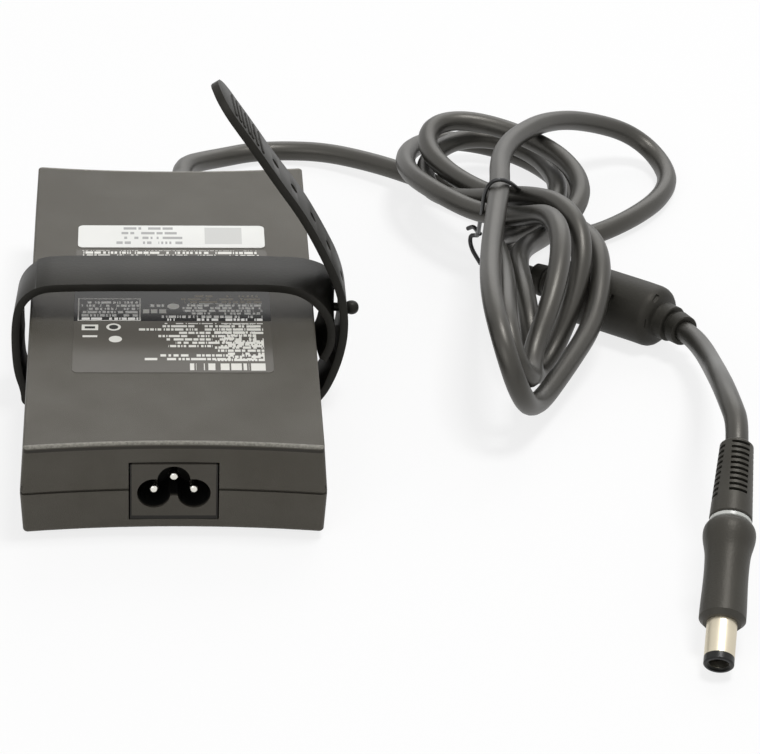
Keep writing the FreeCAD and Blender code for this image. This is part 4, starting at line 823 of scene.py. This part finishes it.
def strap_band(strap, walk):
    """Round the sheet's tip and give it its thickness, thinner under the case."""
    middle = STRAP_MID_Y * MM
    last = (walk[-1] - walk[-3]).normalized()
    full = strap.vertex_groups.new(name="thick")
    for vertex in strap.data.vertices:
        thick = ramp(vertex.co.z, THIN_BELOW * MM, THICKENS_OVER * MM)
        full.add([vertex.index], thick, "REPLACE")
        left = (walk[-1] - vertex.co).dot(last) / MM
        if left < STRAP_HALF and vertex.co.z > TIP_ABOVE * MM:
            near = max(STRAP_HALF - left, 0.0)
            half = math.sqrt(max(STRAP_HALF ** 2 - near ** 2, TIP_LEAST))
            vertex.co.y = middle + (vertex.co.y - middle) * (half / STRAP_HALF)
    finish_with(
        strap, "SOLIDIFY", thickness=STRAP_THICK * MM, offset=0.0, vertex_group="thick",
        thickness_vertex_group=STRAP_UNDER / STRAP_THICK, use_even_offset=True)
    face_out(strap)


def strap_holes(strap, walk):
    """Drill the row of holes, the first where the tail crosses the stud."""
    crossing = next(
        index for index in range(len(walk) // 2, len(walk) - 1)
        if walk[index].z <= STUD_HEIGHT * MM < walk[index + 1].z)
    let_go()
    bpy.ops.mesh.primitive_cylinder_add(
        vertices=28, radius=HOLE_RADIUS * MM, depth=DRILL_DEPTH * MM)
    drills = repeated(bpy.context.object, HOLE_COUNT)
    spots = strap_spots(walk, crossing, HOLE_PITCH, HOLE_COUNT)
    for drill, (spot, way) in zip(drills, spots):
        drill.rotation_euler = (0, math.atan2(way.x, way.z) + math.pi / 2, 0)
        drill.location = spot
    cut_out(strap, settle(joined(drills)))


def strap_ridges(walk):
    """Low rounded ridges across the outer face of the tail."""
    start = len(walk) - 1
    gone = 0.0
    while gone < RIDGES_BACK * MM:
        gone += (walk[start] - walk[start - 1]).length
        start -= 1
    let_go()
    bpy.ops.mesh.primitive_cube_add(size=1.0)
    ridge = bpy.context.object
    ridge.scale = [side * MM for side in RIDGE_SIZE]
    settle(ridge)
    soften(ridge, width=0.3, degrees=45)
    ridges = repeated(ridge, RIDGE_COUNT)
    spots = strap_spots(walk, start, RIDGE_PITCH, RIDGE_COUNT)
    for ridge, (spot, way) in zip(ridges, spots):
        out = Vector((way.z, 0, -way.x))
        ridge.rotation_euler = (0, math.atan2(way.x, way.z) + math.pi / 2, 0)
        ridge.location = spot + out * (STRAP_THICK / 2 - RIDGE_SUNK) * MM
        settle(ridge)
    return ridges


def strap_stud():
    """The round-headed stud that the holes button on."""
    stud = turned("strap_stud", STUD_SHAPE, sides=32)
    root = STUD_BALL_X - STUD_REACH
    stud.rotation_euler = (0, math.pi / 2, 0)
    stud.location = ((root + CASE_MIDDLE_X) * MM, STRAP_MID_Y * MM, STUD_HEIGHT * MM)
    return settle(stud)


# How the band's far edge leans; each ramp is its start and its length
UPPER_Z = 30  # above it the ring's corner flares, below it the loose inner end
LEANING_X = 28
LEANING_Z = (12, 37.6)
INNER_TO_X = 43.1  # the outer band, which stays upright, lies past these
CORNER_TO_X = 41.3
CORNER_RAMP = (28, 9)
CORNER_OUT = 2.8
CORNER_UP = 1.2
INNER_RAMP = (20, 10)
INNER_BACK = 1.7
INNER_BACK_OVER = 8
LEFT_X = -36
LEFT_RAMP = (8, 8)
LEFT_OUT = 0.9
TAIL_RAMP = (40, 30)
TAIL_BACK = 1.2


def strap_lean(x, z):
    """How far the band's far edge leans sideways and up, as twisted rubber does."""
    upper = z > UPPER_Z
    limit = CORNER_TO_X if upper else INNER_TO_X
    low, high = LEANING_Z
    if LEANING_X < x < limit and low < z < high:
        flare = ramp(x, *CORNER_RAMP) if upper else ramp(z, *INNER_RAMP)
        back = INNER_BACK * ramp(UPPER_Z - z, 0, INNER_BACK_OVER)
        return CORNER_OUT * flare - back, CORNER_UP * flare
    if x < LEFT_X and z > LEFT_RAMP[0]:
        return LEFT_OUT * ramp(z, *LEFT_RAMP), 0.0
    return -TAIL_BACK * ramp(z, *TAIL_RAMP), 0.0


def rubber_strap(finish):
    """One band wound over itself, with its holes, stud and ridged tail."""
    line = [(x, STRAP_MID_Y - CASE_FAR_Y, z) for x, z in STRAP_LINE]
    walk = spline_walk(line, STRAP_STEPS)
    strap = strap_sheet()
    strap_band(strap, walk)
    strap_holes(strap, walk)
    soften(strap, width=0.3, degrees=50)
    strap = joined([strap, *strap_ridges(walk), strap_stud()])
    for vertex in strap.data.vertices:
        across = (vertex.co.y / MM - STRAP_MID_Y + STRAP_HALF) / (2 * STRAP_HALF)
        move, lift = strap_lean(vertex.co.x / MM - CASE_MIDDLE_X, vertex.co.z / MM)
        vertex.co.x += move * MM * across
        vertex.co.z += lift * MM * across
    smooth(strap)
    slotted(strap, finish, "strap", "cable_strap")


# Ferrite: its places in the cord's millimetres, its shape along and off its middle line
FERRITE_START = (101.53, -31.95, 8.6)
FERRITE_MIDDLE = (122, -46.3, 8.6)
FERRITE_WAY = (0.8188, -0.5741, 0.0)
FERRITE_LENGTH = 50
FERRITE_RADIUS = 8.6
FERRITE_NECK = (
    (1.5, 3.0), (0, 3.0), (0, 3.9), (0.3, 4.2), (3.4, 4.45), (3.7, 4.2), (3.7, 3.6),
    (5.1, 3.6), (5.1, 4.7), (5.4, 5.0), (8.8, 5.1), (9.0, 5.4),
)
FERRITE_SHOULDER = ((9.1, 6.4), (9.5, 7.2), (10.2, 7.9), (11.2, 8.4), (12.4, 8.6))
FERRITE_DRUM = ((16, 8.6), (25, 8.6), (34, 8.6))
MARK_SIDE = (-0.477, -0.680, 0.556)  # the way that the marks face
MARKS = (  # way along, lean in degrees, and size
    (3.0, 0.0, (0.9, 3.4, 1.6)), (14.6, 24.0, (1.0, 2.6, 2.4)),
    (14.6, -34.0, (1.0, 2.6, 2.4)),
)


def ferrite_skin(finish):
    """The ferrite's moulded cover: a drum with soft shoulders and two stepped necks."""
    walk = spline_walk(ROUTE, CORD_STEPS)
    start = from_far_end(FERRITE_START)
    first = min(range(len(walk)), key=lambda step: (walk[step] - start).length)
    near = FERRITE_NECK + FERRITE_SHOULDER
    far = tuple((FERRITE_LENGTH - along, radius) for along, radius in reversed(near))
    cover = turned("ferrite_skin", near + FERRITE_DRUM + far, sides=72)
    follow(cover, walk[first:])

    way = Vector(FERRITE_WAY)
    let_go()
    bpy.ops.mesh.primitive_cube_add(size=1.0)
    cutters = repeated(bpy.context.object, len(MARKS))
    for cutter, (along, lean, size) in zip(cutters, MARKS):
        out = Vector(MARK_SIDE)
        out.rotate(Quaternion(way, math.radians(lean)))
        turn = Matrix((way, out.cross(way), out)).transposed()
        cutter.scale = [side * MM for side in size]
        cutter.rotation_euler = turn.to_euler()
        cutter.location = (
            from_far_end(FERRITE_MIDDLE) + way * along * MM + out * FERRITE_RADIUS * MM)
        settle(cutter)
    cut_out(cover, joined(cutters))
    soften(cover, width=0.22, degrees=45)
    smooth(cover)
    slotted(cover, finish, "adapter", "ferrite_cover")
    return cover


# Strain relief at the case's far end: its line, then its shape along and off that line
RELIEF_LINE = (
    (0, -6, 13.7), (0, -1, 13.7), (0.1, 5, 13.6), (0.7, 11, 13.1), (1.7, 16, 12.3),
    (2.6, 20.3, 11.4), (3.6, 25, 9.6),
)
RELIEF_STEPS = 12
RELIEF_COLLAR = ((0, 5.3), (0.2, 5.5), (1.1, 5.5), (1.25, 4.8), (6.4, 4.8))
RELIEF_END = ((26.4, 3.5), (26.8, 3.3))
RELIEF_RADIUS = 4.8
TAPER = 1.3  # what the radius loses over the length of the taper
TAPER_FROM = 5
TAPER_LENGTH = 23
GROOVE_COUNT = 5
GROOVE_FROM = 8.0
GROOVE_PITCH = 3.5
GROOVE = ((0, 0), (0.1, -0.8), (1.3, -0.85), (1.4, -0.05))  # along, and off the radius


def case_relief(finish):
    """The ringed strain relief at the case's far end, bent along the cord."""
    row = list(RELIEF_COLLAR)
    for groove in range(GROOVE_COUNT):
        along = GROOVE_FROM + groove * GROOVE_PITCH
        radius = RELIEF_RADIUS - TAPER * (along - TAPER_FROM) / TAPER_LENGTH
        row += [(along + past, radius + off) for past, off in GROOVE]
    row += RELIEF_END
    relief = turned("case_relief", row, sides=48)
    follow(relief, spline_walk(RELIEF_LINE, RELIEF_STEPS))
    soften(relief, width=0.15, degrees=45)
    smooth(relief)
    slotted(relief, finish, "adapter", "cord_relief")


# Wire tie, in the cord's millimetres
TIE = (
    (103.5, -2.1, 18), (100.6, -11.1, 24), (97.1, -18.5, 29.5), (94.4, -22.6, 33.6),
    (91.9, -24.8, 35.7), (89.7, -25, 35.6), (88.2, -24.4, 34), (87.4, -22.8, 30.8),
    (87.2, -20.9, 26.4), (87.2, -17.8, 21), (87.3, -13.2, 15.2), (87.6, -9.5, 11),
)
TIE_ENDS = (
    ((87.6, -9.5, 11), (87.6, -6.6, 9.6), (87, -4.4, 9.9), (86.3, -2.8, 9.4),
     (85.2, -1.8, 8.2)),
    ((88.1, -9, 10.4), (87.1, -7, 8.8), (87.9, -5.6, 8), (87, -4, 7.2), (86, -3, 6.6),
     (85.9, -3.6, 4.6), (86.6, -5.6, 3), (87.6, -7.6, 2), (88.6, -9.6, 1)),
)
TIE_DIAMETER = 1.2 * MM
TIE_END_DIAMETER = 1.25 * MM
TIE_STEPS = 8


def wire_tie(finish):
    """A plastic-coated wire round the hank's crossing, its ends twisted together."""
    wires = [round_line("tie_round", TIE, TIE_DIAMETER, TIE_STEPS)]
    for spots in TIE_ENDS:
        wires.append(round_line("tie_end", spots, TIE_END_DIAMETER, TIE_STEPS))
    take(*wires)
    bpy.ops.object.convert(target="MESH")
    bpy.ops.object.join()
    tie = bpy.context.object
    tie.name = "wire_tie"
    face_out(tie)
    smooth(tie)
    slotted(tie, finish, "adapter", "twist_tie")


photo_camera()
studio()
finishes = {name: grained(name, *looks) for name, looks in FINISHES.items()}
painted_edge_highlight_and_shade(finishes["shell_plastic"])
rating_print_and_painted_reflection(finishes["label_dark"])
sticker_print(finishes["label_white"])
inlet_shade(finishes["inlet_plastic"])
dress_nodes(finishes)
cover = ferrite_skin(finishes["moulded_cover"])
output_cord(finishes["cord_jacket"])
rubber_strap(finishes["strap_rubber"])
case_relief(finishes["cord_jacket"])
wire_tie(finishes["tie_black"])
